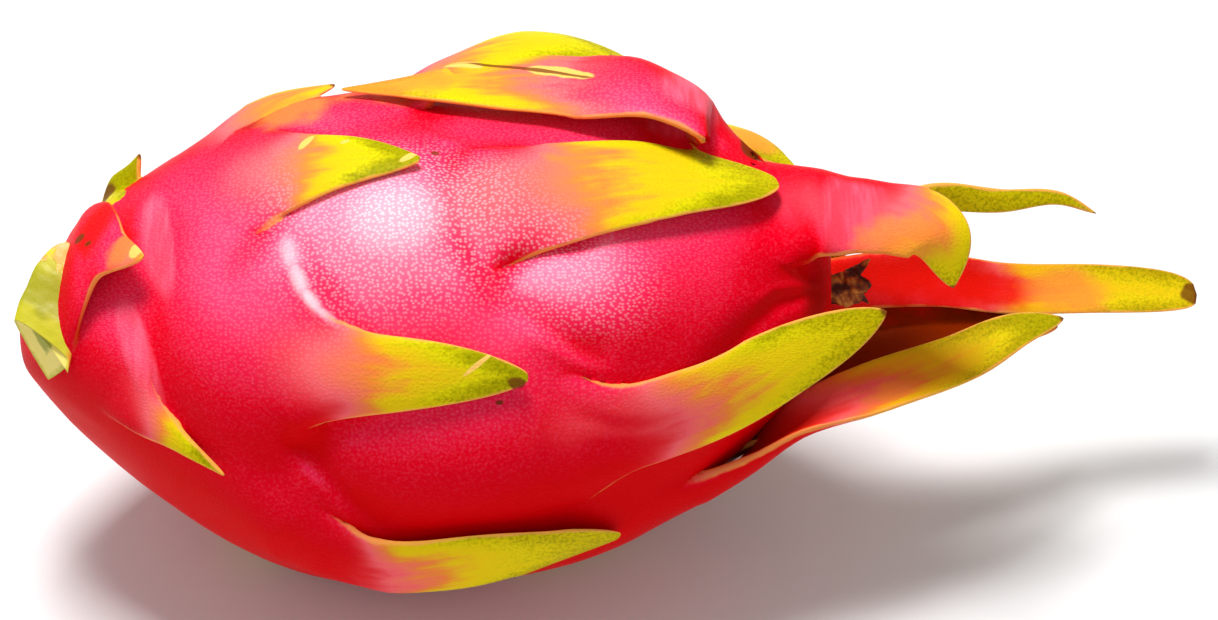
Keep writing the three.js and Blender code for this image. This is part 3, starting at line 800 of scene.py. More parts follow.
@dataclass
class Rind:
    """The rind with every bract, as one grown piece.

    The settle values say where the seams at the bracts' roots are rubbed out and how much, and the
    crease values do that for sharp hollows. The blush values say where a root is pinker. The sun is
    the direction of the painted light; the hollow shade values darken hollows below the smoothed
    surface as painted shade, and the crown shade is painted shade towards the flower end.
    """

    body: Spindle = field(default_factory=Spindle)
    bracts: list[Bract] = field(default_factory=lambda: [*FRONT_BRACTS, *TOP_BRACTS, *CROWN_BRACTS,
                                                         *BackRows().bracts()])
    body_rows: int = 200
    body_columns: int = 240
    blade_rows: int = 60
    blade_columns: int = 40
    even_rows: float = 0.3       # share of a bract's rows set out evenly, the rest towards its tip
    edge_power: float = 0.7      # how full its margins are in section
    hug: tuple[float, float] = (0.08, 0.45)   # shares of its length where it comes free
    pole_room: float = 1.5
    pole_fade: float = 8.0
    root_sink: float = 1.2
    settle_to: float = 7.0       # how far along a blade its seam is rubbed out
    settle_in: tuple[float, float] = (0.5, 2.5)
    settle_spread: float = 1.5
    settle_behind: float = 8.0
    settle_lift: tuple[float, float] = (8.0, 5.0)
    settle_steps: int = 14
    settle_share: float = 0.6
    crease_steps: int = 6
    crease_share: float = 0.5
    blush_margin: float = 3.0
    blush_at: float = 8.0
    blush_tail: float = 0.6
    blush_skin: tuple[float, float] = (14.0, 6.0)
    blush_blade: tuple[float, float] = (40.0, 20.0)
    blush_lift: tuple[float, float] = (12.0, 6.0)
    blush_turn: tuple[float, float] = (0.5, 0.2)
    sun: tuple[float, float, float] = (-0.1, -0.4, 0.91)
    # painted shade: hollows below the smoothed surface are darkened, ridges lightened as painted highlight
    hollow_shade_steps: int = 30
    hollow_shade_step: float = 0.7
    hollow_shade_share: float = 0.45
    hollow_shade_range: tuple[float, float] = (-0.3, 0.06)
    crown_shade: float = 0.2
    crown_from: tuple[float, float] = (112.0, 126.0)
    far: float = 50.0            # distance to a rim that the bare skin is given

    def swell(self, station: np.ndarray, angle: np.ndarray, skip: Bract | None = None) -> np.ndarray:
        """Height of the swollen skin: the sum over its pillows, folds and every bract but one.

        Args:
            station: Stations of the places.
            angle: Their angles.
            skip: A bract to leave out.

        Returns:
            Heights in mm.
        """
        relief = sum(form.rise(self.body, station, angle) for form in (*PILLOWS, *FOLDS))
        return relief + sum(b.cushion_height(self.body, station, angle)
                            for b in self.bracts if b is not skip)

    def body_shell(self) -> Shell:
        """The spindle with its swollen skin: each profile ring is pushed out by the swell there.

        The stem end leans: it is shifted along the axis by slope * radius * cos(angle), under a
        bell of the radius.

        Returns:
            Its closed surface, with the layers of bare skin.
        """
        t = (np.arange(1, self.body_rows) / self.body_rows)[:, None]
        angle = -360.0 * np.arange(self.body_columns)[None] / self.body_columns + 0.0 * t
        station, shift, radius = (x + 0.0 * angle for x in self.body.profile(t))
        cup = float(self.body.bare_radius(np.float64(self.body.cup_station)))
        fade = np.where(shift == 0.0, 1.0, radius / cup) * np.minimum(radius / self.pole_fade, 1.0)
        reach = radius + fade * self.swell(station, angle)
        points = self.body.axis(station) + radial(angle) * reach[..., None]
        lean = np.cos(np.radians(angle - self.body.slant_angle))
        slant = self.body.slant_slope * radius * lean * np.exp(-((radius / self.body.slant_radius) ** 2))
        points[..., 0] += shift - np.where(station < self.body.belly, slant, 0.0)
        first = self.body.axis(np.float64(0.0))
        last = self.body.axis(np.float64(self.body.cup_station))
        last[0] -= self.body.cup_depth
        shell = ring_shell(points, first, last)
        count = len(shell.points)
        shell.layers = {
            "blade_place": np.zeros((count, 2)),
            "blade_rim": np.full((count, 2), self.far * LAYER),
            "blade_tone": np.tile((0.0, 1.0), (count, 1)),
        }
        return shell

    def spine_of(self, bract: Bract) -> Spine:
        """Line that a bract follows, from the buried end of its tail to its tip.

        Args:
            bract: The bract.

        Returns:
            Its line, with the tail as the first span.
        """
        (s0, a0, l0), (s1, a1, _) = bract.spine[:2]
        turn = math.degrees(1.0) / float(self.body.guide_radius(np.float64(s0)))
        run = np.array((s1 - s0, (a1 - a0) / turn))
        run /= np.linalg.norm(run)
        tail_swell = bract.cushion * math.exp(-((bract.tail / bract.cushion_length) ** 2))
        tail = (s0 - run[0] * bract.tail, a0 - run[1] * bract.tail * turn,
                l0 - self.root_sink + tail_swell)
        rest = [(s, a, lift + bract.cushion) for s, a, lift in bract.spine]
        station, angle, lift = np.array([tail, *rest], float).T
        return Spine(self.body.guide_point(station, angle, lift))

    def bract_shell(self, bract: Bract) -> Shell:
        """One bract: a flattened ring carried along its spine.

        A point of the ring lies v across and some depth under the top face. Near the root it hugs
        the skin there, and further on it stands free: curved by cup * v^2 and turned by the twist.

        Args:
            bract: The bract.

        Returns:
            Its closed surface, with its place, rim and tone layers.
        """
        body = self.body
        rows = np.arange(self.blade_rows + 1) / self.blade_rows
        parts = self.even_rows * rows + (1.0 - self.even_rows) * np.sin(rows * math.pi / 2.0)
        centre, tangent, root, total = self.spine_of(bract).by_length(parts)
        station = centre[:, 0] + body.rest_station
        arm = centre - body.axis(station)
        angle = np.degrees(np.arctan2(arm[:, 2], -arm[:, 1]))
        u = total * parts - root
        share = u / (total - root)
        q = np.clip(share, 0.0, 1.0)
        normal = radial(angle)
        normal -= tangent * (normal * tangent).sum(-1, keepdims=True)
        normal /= np.linalg.norm(normal, axis=1, keepdims=True)
        side = np.cross(normal, tangent)
        heading = np.stack((tangent[:, 0], (tangent * radial(angle + 90.0)).sum(-1)), -1)
        heading /= np.linalg.norm(heading, axis=1, keepdims=True)
        guide = body.guide_radius(station)
        own = bract.cushion * np.exp(-((np.minimum(u, 0.0) / bract.cushion_length) ** 2))
        lift = np.hypot(arm[:, 1], arm[:, 2]) - guide - own

        psi = 2.0 * math.pi * np.arange(self.blade_columns) / self.blade_columns
        across = np.cos(psi)[None]
        through = (np.sign(np.sin(psi)) * np.abs(np.sin(psi)) ** self.edge_power)[None]
        half = bract.half_width(body, u[:, None], q[:, None], across)
        v = across * half
        depth = -bract.blade_thickness(q)[:, None] / 2.0 * (1.0 - through)
        high = three_point(bract.cup, share)[:, None] / (bract.width / 2.0) * v * v + depth
        twist = np.radians(three_point(bract.twist, share))[:, None]
        flap = (centre[:, None] + side[:, None] * (v * np.cos(twist) - high * np.sin(twist))[..., None]
                + normal[:, None] * (v * np.sin(twist) + high * np.cos(twist))[..., None])
        s = np.maximum(station[:, None] - v * heading[:, 1:], self.pole_room)
        a = angle[:, None] + np.degrees(v * heading[:, :1] / np.maximum(guide, self.pole_fade)[:, None])
        skin = own[:, None] * np.exp(-((v / bract.cushion_width) ** 2)) + self.swell(s, a, bract)
        hugging = body.guide_point(s, a, lift[:, None] + skin + depth)
        free = ease(*self.hug, share)[:, None, None]
        rings = hugging + (flap - hugging) * free
        shell = ring_shell(rings[:-1], rings[0].mean(0), centre[-1])

        tone = ease(*bract.turn, share)[:, None] * bract.green
        to_tip = (1.0 - share)[:, None] * (total - root)
        pairs = {
            "blade_place": (u[:, None], v, LAYER),
            "blade_rim": (half - np.abs(v), to_tip, LAYER),
            "blade_tone": (tone, through, 1.0),
        }
        for name, (x, y, unit) in pairs.items():
            grid = np.stack((x + 0.0 * v, y + 0.0 * v), -1) * unit
            shell.layers[name] = np.concatenate((grid[0].mean(0)[None], grid[:-1].reshape(-1, 2),
                                                 grid[-1].mean(0)[None]))
        return shell

    def build(self) -> bpy.types.Object:
        """Joins body and bracts in one union, softens its creases and sets it on its flat spot.

        Returns:
            The rind.
        """
        whole = self.body_shell().to_object("body_shell")
        leaves = bpy.data.collections.new("bracts")
        bpy.context.scene.collection.children.link(leaves)
        for n, bract in enumerate(self.bracts):
            leaf = self.bract_shell(bract).to_object(f"bract_{n:02d}")
            bpy.context.scene.collection.objects.unlink(leaf)
            leaves.objects.link(leaf)
        join = whole.modifiers.new("join", "BOOLEAN")
        join.operation = "UNION"
        join.operand_type = "COLLECTION"
        join.collection = leaves
        join.solver = "MANIFOLD"
        whole.modifiers.new("triangles", "TRIANGULATE")
        graph = bpy.context.evaluated_depsgraph_get()
        mesh = bpy.data.meshes.new_from_object(whole.evaluated_get(graph))
        mesh.name = "rind"
        rind = put_in_scene("rind", mesh)
        for thing in (whole, *leaves.objects):
            bpy.data.objects.remove(thing)
        bpy.data.collections.remove(leaves)
        net = Net(mesh)
        self.soften(net)
        mesh.vertices.foreach_set("co", (net.points * MM).astype(np.float32).ravel())
        mesh.update()
        self.blush_and_light(mesh, net)
        mesh.shade_smooth()
        return rind

    def places(self, points: np.ndarray) -> tuple[np.ndarray, np.ndarray, np.ndarray]:
        """Turns places into the fruit's own coordinates.

        Args:
            points: Places in mm.

        Returns:
            Stations, angles and lifts above the guide surface.
        """
        station = points[:, 0] + self.body.rest_station
        arm = points - self.body.axis(station)
        angle = np.degrees(np.arctan2(arm[:, 2], -arm[:, 1]))
        return station, angle, np.hypot(arm[:, 1], arm[:, 2]) - self.body.guide_radius(station)

    def grown_in(self, points: np.ndarray) -> np.ndarray:
        """Tells where bracts leave the skin, so that no seam is left there.

        For each bract it is 1 behind the root, out to its swept margins, and falls to 0 some way
        along the blade and near its rims.

        Args:
            points: Places on the rind, in mm.

        Returns:
            Shares from 0 to 1.
        """
        station, angle, lift = self.places(points)
        share = np.zeros(len(points))
        for bract in self.bracts:
            u, v = bract.local(self.body, station, angle)
            inside = bract.width / 2.0 + bract.sweep_width(self.body, u, v) - np.abs(v)
            inside += np.maximum(-self.settle_spread * u, 0.0)
            near = ease(self.settle_to, 0.0, u) * ease(*self.settle_in, inside)
            near *= ease(-bract.tail - self.settle_behind, -bract.tail, u) * ease(*self.settle_lift, lift)
            share = np.maximum(share, near)
        return share

    def soften(self, net: Net) -> None:
        """Rubs out root seams, fills inner creases a little and flattens what lies below the floor.

        A vertex where a bract leaves the skin moves towards the mean of its neighbours. One in a
        hollow moves out along its normal, by its share of the step to that mean.

        Args:
            net: The joined rind, whose places are changed.
        """
        fused = self.grown_in(net.points)[:, None]
        points = net.points
        for step in range(self.settle_steps):
            normal = net.normals(points)
            pull = net.pull(points)
            out = np.maximum((pull * normal).sum(-1), 0.0)[:, None] if step < self.crease_steps else 0.0
            filled = (1.0 - fused) * self.crease_share * out * normal
            points = points + filled + self.settle_share * fused * pull
        points[:, 2] = np.maximum(points[:, 2], 0.0)
        net.points = points

    def blush_and_light(self, mesh: bpy.types.Mesh, net: Net) -> None:
        """Writes a layer for the finish: nearness to a bract's blushed root, and turn towards the sun.

        The first falls off as an ellipse round each root and again along the blade. The second is
        painted light: the dot product of the outward normal and the sun's direction, lowered in hollows
        as painted shade, by how far they lie below the smoothed surface, raised a little on ridges as
        a painted highlight, and lowered towards the flower end as painted shade.

        Args:
            mesh: The joined rind.
            net: Its places and how they hang together.
        """
        station, angle, lift = self.places(net.points)
        rims = np.zeros(len(mesh.loops) * 2, np.float32)
        mesh.uv_layers["blade_rim"].uv.foreach_get("vector", rims)
        on_blade = np.zeros(net.count)
        on_blade[net.corners] = rims.reshape(-1, 2)[:, 0] < 0.9 * self.far * LAYER
        share = np.zeros(net.count)
        for bract in self.bracts:
            u, v = bract.local(self.body, station, angle)
            half = bract.width / 2.0 + 0.5 * bract.sweep_width(self.body, u, v) + self.blush_margin
            behind = np.minimum(u - self.blush_at, 0.0) / (self.blush_at + self.blush_tail * bract.tail)
            near = ease(1.0, 0.1, np.hypot(v / half, behind))
            near *= np.maximum(ease(*self.blush_skin, u), on_blade)
            near *= ease(*self.blush_lift, lift) * ease(*self.blush_turn, bract.turn[0])
            share = np.maximum(share, near * ease(*self.blush_blade, u))
        # painted light: the turn towards the sun, with painted shade in hollows and towards the flower end
        smooth = net.points
        for _ in range(self.hollow_shade_steps):
            smooth = smooth + self.hollow_shade_step * net.pull(smooth)
        normal = net.normals(net.points)
        proud = ((net.points - smooth) * normal).sum(-1)
        sunny = normal @ np.array(self.sun) + np.clip(self.hollow_shade_share * proud, *self.hollow_shade_range)
        sunny -= self.crown_shade * ease(*self.crown_from, station)
        layer = mesh.uv_layers.new(name="root_blush")
        pair = np.stack((share, sunny), -1)[net.corners]
        layer.data.foreach_set("uv", pair.astype(np.float32).ravel())


# ---- Stem stub and flower remains ------------------------------------------------------------------


@dataclass(frozen=True)
class StemStub:
    """Stub of the ribbed green stem, cut off slantwise: a flat flank in front and a rib behind."""

    top: tuple[float, float, float] = (-50.2, -3.0, 63.3)
    cut: tuple[float, float, float] = (-53.5, -16.0, 53.5)
    across: tuple[float, float, float] = (0.975, -0.16, -0.15)
    half_width: float = 5.1
    bulge: float = 0.9
    bulge_power: float = 0.8
    rib_depth: float = 5.4
    rib_at: float = 0.25
    rib_power: float = 0.85
    rib_growth: float = 0.3
    end_power: float = 2.2
    slope_across: float = 0.47
    slope_through: float = -0.78
    tail: float = 1.6
    tail_width: float = 0.25
    hollow: float = 0.7
    wear: tuple[tuple[float, int, float], ...] = ((5.0, 5, 0.12), (1.8, 6, 0.03))   # size, seed, depth
    rows: int = 70
    cap_rows: int = 26
    columns: int = 144

    def build(self) -> bpy.types.Object:
        """Sweeps the three-sided section from the grown end to the cut, and closes it with the cut face.

        With w = sqrt(1 - (1 - s)^p), a share s along the stub is w times its full section. The cut
        plane is along = length + a * x + b * y, drawn out at one corner and hollow in the middle.

        Returns:
            The stub.
        """
        top, cut, across = (np.array(x) for x in (self.top, self.cut, self.across))
        down = cut - top
        length = np.linalg.norm(down)
        down /= length
        across = across - down * (across @ down)
        across /= np.linalg.norm(across)
        face = np.cross(down, across)
        side = np.linspace(0.0, 1.0, self.rows + 1)[1:]
        s = np.concatenate((side, np.ones(self.cap_rows - 1)))[:, None]
        inward = np.arange(self.cap_rows - 1, 0, -1) / self.cap_rows
        r = np.concatenate((np.ones(self.rows), inward))[:, None]
        psi = 2.0 * math.pi * np.arange(self.columns)[None] / self.columns + 0.0 * s
        w = np.sqrt(1.0 - (1.0 - s) ** self.end_power)
        x = np.cos(psi)
        front = self.bulge * np.abs(np.sin(psi)) ** self.bulge_power
        flank = np.where(x > self.rib_at, 1.0 - self.rib_at, 1.0 + self.rib_at)
        behind = (1.0 - np.abs(x - self.rib_at) / flank) ** self.rib_power
        y = np.where(np.sin(psi) > 0.0, front, -self.rib_depth * w**self.rib_growth * behind) * w * r
        x = x * self.half_width * w * r
        corner = np.exp(-((np.mod(psi + math.pi, 2.0 * math.pi) - math.pi) / self.tail_width) ** 2)
        along = s * (length + self.slope_across * x + self.slope_through * y)
        along += self.tail * corner * s**12 * r - self.hollow * (1.0 - r**2) * s**40
        points = top + down * along[..., None] + across * x[..., None] + face * y[..., None]
        worn = sum(ripple(points, size, seed) * depth for size, seed, depth in self.wear)
        out = across * np.cos(psi)[..., None] + face * np.sin(psi)[..., None]
        points = points + out * worn[..., None]
        last = top + down * (length - self.hollow)
        shell = ring_shell(points[:, ::-1], top - down * 0.1, last)
        flat = np.stack((s + 0.0 * x, r + 0.0 * x), -1)[:, ::-1].reshape(-1, 2)
        over = np.stack((x / self.half_width, y / self.rib_depth), -1)[:, ::-1].reshape(-1, 2)
        shell.layers = {
            "stub_run": np.concatenate(([[0.0, 1.0]], flat, [[1.0, 0.0]])),
            "stub_section": np.concatenate(([[0.0, 0.0]], over, [[0.0, 0.0]])),
        }
        return shell.to_object("stem_stub_fine")


@dataclass(frozen=True)
class FlowerRemains:
    """Dried remains of the flower: a pleated tube, withered shut and crumpled."""

    start: float = 127.0
    end: float = 138.5
    radius: float = 4.2
    folds: int = 5
    fold_depth: float = 0.25
    fold_turn: float = 40.0
    waist: float = 0.35
    flare: float = 0.25
    shrink: float = 1.6
    hollow: float = 2.2
    rows: int = 90
    columns: int = 160

    def build(self, body: Spindle) -> bpy.types.Object:
        """Sweeps the pleated ring along the fruit's axis and crumples it.

        A pleat is half a cosine of folds * angle, which turns a little along the tube and deepens
        with the share s of its length. The crumple is a broad ripple and sharp folds, which come
        from a ripple's absolute value.

        Args:
            body: The spindle that it sits on.

        Returns:
            The object.
        """
        s = (np.arange(self.rows) / (self.rows - 1))[:, None]
        station = self.start + (self.end - self.start) * s
        angle = -360.0 * np.arange(self.columns)[None] / self.columns + 0.0 * s
        neck = 1.0 - self.waist * ease(0.1, 0.5, s) + self.flare * ease(0.6, 1.0, s)
        pleat = 0.5 + 0.5 * np.cos(np.radians(self.folds * angle + self.fold_turn * s))
        reach = self.radius * neck * (1.0 - self.fold_depth * s * pleat)
        points = body.axis(station + 0.0 * angle) + radial(angle) * reach[..., None]
        points[..., 0] -= self.shrink * ease(0.5, 1.0, s) * pleat
        crumple = 0.35 * ripple(points, 3.5, 11) + 0.25 * np.abs(ripple(points, 1.6, 12)) - 0.1
        points = points + radial(angle) * (crumple * ease(0.0, 0.15, s))[..., None]
        last = body.axis(np.float64(self.end))
        last[0] -= self.hollow
        shell = ring_shell(points, body.axis(np.float64(self.start)), last)
        flat = np.stack((s + 0.0 * angle, crumple), -1).reshape(-1, 2)
        shell.layers = {"remains_run": np.concatenate(([[0.0, 0.0]], flat, [[1.0, 0.0]]))}
        return shell.to_object("flower_remains")


# ---- Finishes --------------------------------------------------------------------------------------

# Settings that many nodes share, and the numbers of a colour mix's sockets.
ADD = {"operation": "ADD"}
SUBTRACT = {"operation": "SUBTRACT"}
MULTIPLY = {"operation": "MULTIPLY"}
MULTIPLY_ADD = {"operation": "MULTIPLY_ADD"}
EASED = {"interpolation_type": "SMOOTHSTEP"}
COLOURS = {"data_type": "RGBA"}
MIX_A, MIX_B, MIX_OUT = 6, 7, 2
Socket = bpy.types.NodeSocket


def linear(colour: str) -> tuple[float, float, float, float]:
    """Turns an sRGB hex colour to linear.

    Args:
        colour: Six hex digits after a #.

    Returns:
        Red, green, blue and full alpha.
    """
    channels = (int(colour[k:k + 2], 16) / 255.0 for k in (1, 3, 5))
    turned = (c / 12.92 if c <= 0.04045 else ((c + 0.055) / 1.055) ** 2.4 for c in channels)
    return (*turned, 1.0)


def add_node(tree: bpy.types.NodeTree, kind: str, settings: dict | None = None,
             inputs: dict | tuple = (), out: int | str = 0) -> Socket:
    """Adds a shader node with its settings and links.

    Args:
        tree: Node tree of the material.
        kind: Blender's name of the node type, after "ShaderNode".
        settings: Properties to set. "stops" gives a colour ramp's (place, colour) pairs.
        inputs: The socket that feeds each input, or its plain value, in order or by name or number.
        out: The output to hand back, by name or number.

    Returns:
        That output.
    """
    node = tree.nodes.new("ShaderNode" + kind)
    for name, value in (settings or {}).items():
        if name == "stops":
            elements = node.color_ramp.elements
            while len(elements) < len(value):
                elements.new(0.5)
            for element, (place, colour) in zip(elements, value):
                element.position = place
                element.color = linear(colour)
        else:
            setattr(node, name, value)
    for name, value in (inputs if isinstance(inputs, dict) else dict(enumerate(inputs))).items():
        if isinstance(value, Socket):
            tree.links.new(value, node.inputs[name])
        else:
            node.inputs[name].default_value = value
    return node.outputs[out]


def start_material(name: str) -> tuple[bpy.types.Material, bpy.types.NodeTree, bpy.types.Node]:
    """Starts a material with nodes.

    Args:
        name: Name of the real finish.

    Returns:
        The material, its node tree and its shader.
    """
    material = bpy.data.materials.new(name)
    material.use_nodes = True
    return material, material.node_tree, material.node_tree.nodes["Principled BSDF"]


class PatchKind(Enum):
    """What a local patch of the rind looks like."""

    CORK = "cork"
    BROWN = "brown"
    RIDGE_HIGHLIGHT = "painted_glint"
    GLARE_FIELD = "painted_highlight"
    ORANGE = "orange"
    WRINKLED = "wrinkled"
    RED = "red"
    SHADED = "shaded"


@dataclass(frozen=True)
class Patch:
    """A place on the fruit that looks different: an ellipse on its surface, as half sizes in mm."""

    station: float
    angle: float
    length: float
    width: float
    turn: float = 0.0
    lift: float = 2.0
    depth: float = 3.0

    def nearness(self, tree: bpy.types.NodeTree, place: Socket, body: Spindle) -> Socket:
        """Gives 1 in the middle of the patch, 0 on its edge and less outside.

        Args:
            tree: Node tree of the material.
            place: Object coordinates.
            body: The spindle it lies on.

        Returns:
            The socket.
        """
        middle = body.guide_point(*(np.float64(x) for x in (self.station, self.angle, self.lift)))
        out = Vector(radial(np.float64(self.angle)))
        turned = Matrix.Rotation(math.radians(self.turn), 3, out) @ Vector((1.0, 0.0, 0.0))
        frame = Matrix((turned, out.cross(turned), out)).transposed()
        local = add_node(tree, "Mapping", {"vector_type": "TEXTURE"}, {
            "Vector": place, "Location": tuple(middle * MM), "Rotation": tuple(frame.to_euler()),
            "Scale": (self.length * MM, self.width * MM, self.depth * MM)})
        far = add_node(tree, "VectorMath", {"operation": "LENGTH"}, (local,), "Value")
        return add_node(tree, "Math", SUBTRACT, (1.0, far))


# Each is station, angle, half length, half width, and where they differ turn, lift and half depth.
PATCHES = {
    PatchKind.CORK: (
        Patch(48.6, 90.8, 2.3, 0.8, 62), Patch(54.9, 88.4, 0.8, 0.4, 20),
        Patch(65, 82.2, 1.8, 0.7, 35), Patch(76, 35.6, 3, 0.4, 38),
        Patch(23.2, 63.9, 1.8, 1.2, 60, 5.5), Patch(88, 115, 6.5, 1.6, -12, 7.4),
        Patch(72.5, 118.5, 3.5, 1.2, -12, 6.5),
    ),
    PatchKind.BROWN: (
        Patch(81.9, 31.2, 1.9, 1.2, -20), Patch(12.4, 77, 1.2, 1, 0, 5, 2.5),
        Patch(14.2, 72, 0.7, 0.6, 0, 5, 2.5), Patch(68.9, 87.2, 0.8, 0.7, 0, 0.5),
        Patch(7.8, -10.1, 0.8, 0.6, 0, 0), Patch(79.3, 26.9, 0.7, 0.4, 0, 1),
        Patch(9.3, -16, 0.5, 0.4, 0, 0), Patch(51.8, 123.5, 2, 0.9, 0, 3, 2),
        Patch(196, -111, 3, 2.5, 0, 12.5, 4), Patch(13.8, 123, 2.2, 2.5, 0, 2.5, 2.5),
        Patch(83, 116, 14, 0.6, -14, 7.2), Patch(119.5, 124, 5, 4, 0, 3),
    ),
    PatchKind.ORANGE: (
        Patch(88, 85.5, 5, 2, -20, 0.5), Patch(62, 115, 16, 8, 0, 4.4, 5),
        Patch(174, -118, 10, 6, 0, 8, 6), Patch(142, -43, 9, 3.5, -25, 7.5, 4),
        Patch(142, 57, 10, 5.5, 0, 8, 6), Patch(45, 111, 10, 8, 0, 2, 4),
        Patch(21, 65.5, 5, 4, 60, 5.5), Patch(118, 137, 9, 8, 0, 5, 5),
    ),
    # painted shade in dark gaps beside the bracts and at the cup
    PatchKind.SHADED: (
        Patch(39.5, 110.5, 6, 3, 0, 1.6), Patch(129, 38, 3.5, 9, 0, -3.5, 5),
    ),
    # deep red: partly the bracts' own red, partly painted shade
    PatchKind.RED: (
        Patch(15, 80, 9, 10, 0, 4.5), Patch(159, -124.5, 13, 5, 0, 5.5, 6),
        Patch(143, -137, 21, 8, 0, 2.5, 6),
    ),
    # painted highlights along the ridge beside a bract's margin
    PatchKind.RIDGE_HIGHLIGHT: (
        Patch(47, 61.5, 5, 2.1, -72), Patch(48.8, 54.8, 4.5, 1.9, -68),
        Patch(50.8, 50, 4, 1.5, -55), Patch(53.2, 46.5, 3.8, 1.1, -38),
        Patch(57.5, 43.6, 4.5, 0.7, -18),
    ),
    # painted highlights: the two glare fields where the skin faces the lamp
    PatchKind.GLARE_FIELD: (
        Patch(63, 68, 17, 13, 0, 4, 9), Patch(93, 54, 19, 10, -25, 11, 10),
    ),
    PatchKind.WRINKLED: (
        Patch(25.3, 72, 3.4, 13, 14, 1, 5), Patch(22.5, 36, 3, 13, 21, 1, 5),
        Patch(135, 74, 7, 12, 0, 8.2, 5), Patch(108, 112, 10, 9, 0, 7.5, 6),
    ),
}


@dataclass(frozen=True)
class RindFinish:
    """Skin of a ripe dragon fruit, grown and unpolished, under a coat of natural wax.

    To the eye it is a satin crimson with pimples. Its light and shade are painted into the colour:
    deep red on the shaded side, pinker towards the lamp, and light pink painted glints on the lit
    pimples. Its bracts turn orange, yellow and green towards their tips and dry out along a thin rim.
    The wax spreads highlights so wide that they are painted as light pink fields in the colour, and
    the shine itself is weak.
    """

    body: Spindle
    shaded: str = "#d60008"            # the skin, painted from its shaded side to a painted highlight where it faces the lamp
    skin: str = "#e60020"
    lit: str = "#ee1e4c"
    sunny: str = "#f6406e"
    painted_highlight: str = "#ff7c9c"
    painted_glint: str = "#ffd0d8"              # painted glints on lit pimples, painted highlight fields and ridge highlights
    fleck: str = "#ff4a6e"
    wrinkle: str = "#ff6a86"
    blush: str = "#f26268"             # a bract, from past its red root to its tip
    orange: str = "#ea8436"
    yellow: str = "#e0b416"
    lime: str = "#d0c60a"
    olive: str = "#a09a04"
    leaf_shade: str = "#ecd20c"        # painted on a bract's shaded side: a brighter yellow than in the light
    grain: str = "#7a7400"
    inner: str = "#f04a20"             # undersides of the bracts
    rim: str = "#f0a050"
    cork: str = "#f2c060"
    brown: str = "#6a3410"
    withered: str = "#862600"
    deep: str = "#e01206"              # red patches: partly the bracts' own red, partly painted shade
    # painted shade in dark gaps and hollows
    shade: str = "#a00a04"
    mottle_mm: float = 16.0
    lump_mm: float = 4.0
    fine_mm: float = 0.9
    speck_mm: float = 0.5              # flecks and grains, about twice the real size, so that they show
    pimple_mm: float = 0.62            # about twice the real spacing, so that they show
    pimple_axis_mm: float = 44.0       # height of the line that their pattern is unrolled about
    pimple_radius_mm: float = 37.0     # radius that it is unrolled at
    pimple_stretch: float = 0.85       # below 1 they lie further apart along the fruit than round it
    bare_mm: tuple[float, float] = (62.0, 50.0)      # x of the first pale pimples, and of them all
    wrinkle_mm: float = 1.5
    wrinkle_stretch: float = 0.12      # their width over their length, which runs round the fruit
    streak_mm: tuple[float, float] = (12.0, 1.6)     # along and across a bract
    relief_mm: float = 0.12
    roughness: float = 0.38
    ior: float = 1.35                  # that of watery tissue
    shine: float = 0.03
    glow: float = 0.1                  # light that scatters in the flesh
    glow_mm: float = 1.5

    def material(self) -> bpy.types.Material:
        """Lays the coats and sets the shader.

        Returns:
            The material.
        """
        material, tree, shader = start_material("dragon fruit rind, waxy")
        coats = RindCoats(self, tree)
        tree.links.new(coats.colour(), shader.inputs["Base Color"])
        tree.links.new(coats.relief(), shader.inputs["Normal"])
        shader.inputs["Roughness"].default_value = self.roughness
        shader.inputs["IOR"].default_value = self.ior
        shader.inputs["Specular IOR Level"].default_value = self.shine
        shader.inputs["Subsurface Weight"].default_value = self.glow
        shader.inputs["Subsurface Radius"].default_value = (1.0, 0.2, 0.15)
        shader.inputs["Subsurface Scale"].default_value = self.glow_mm * MM
        return material


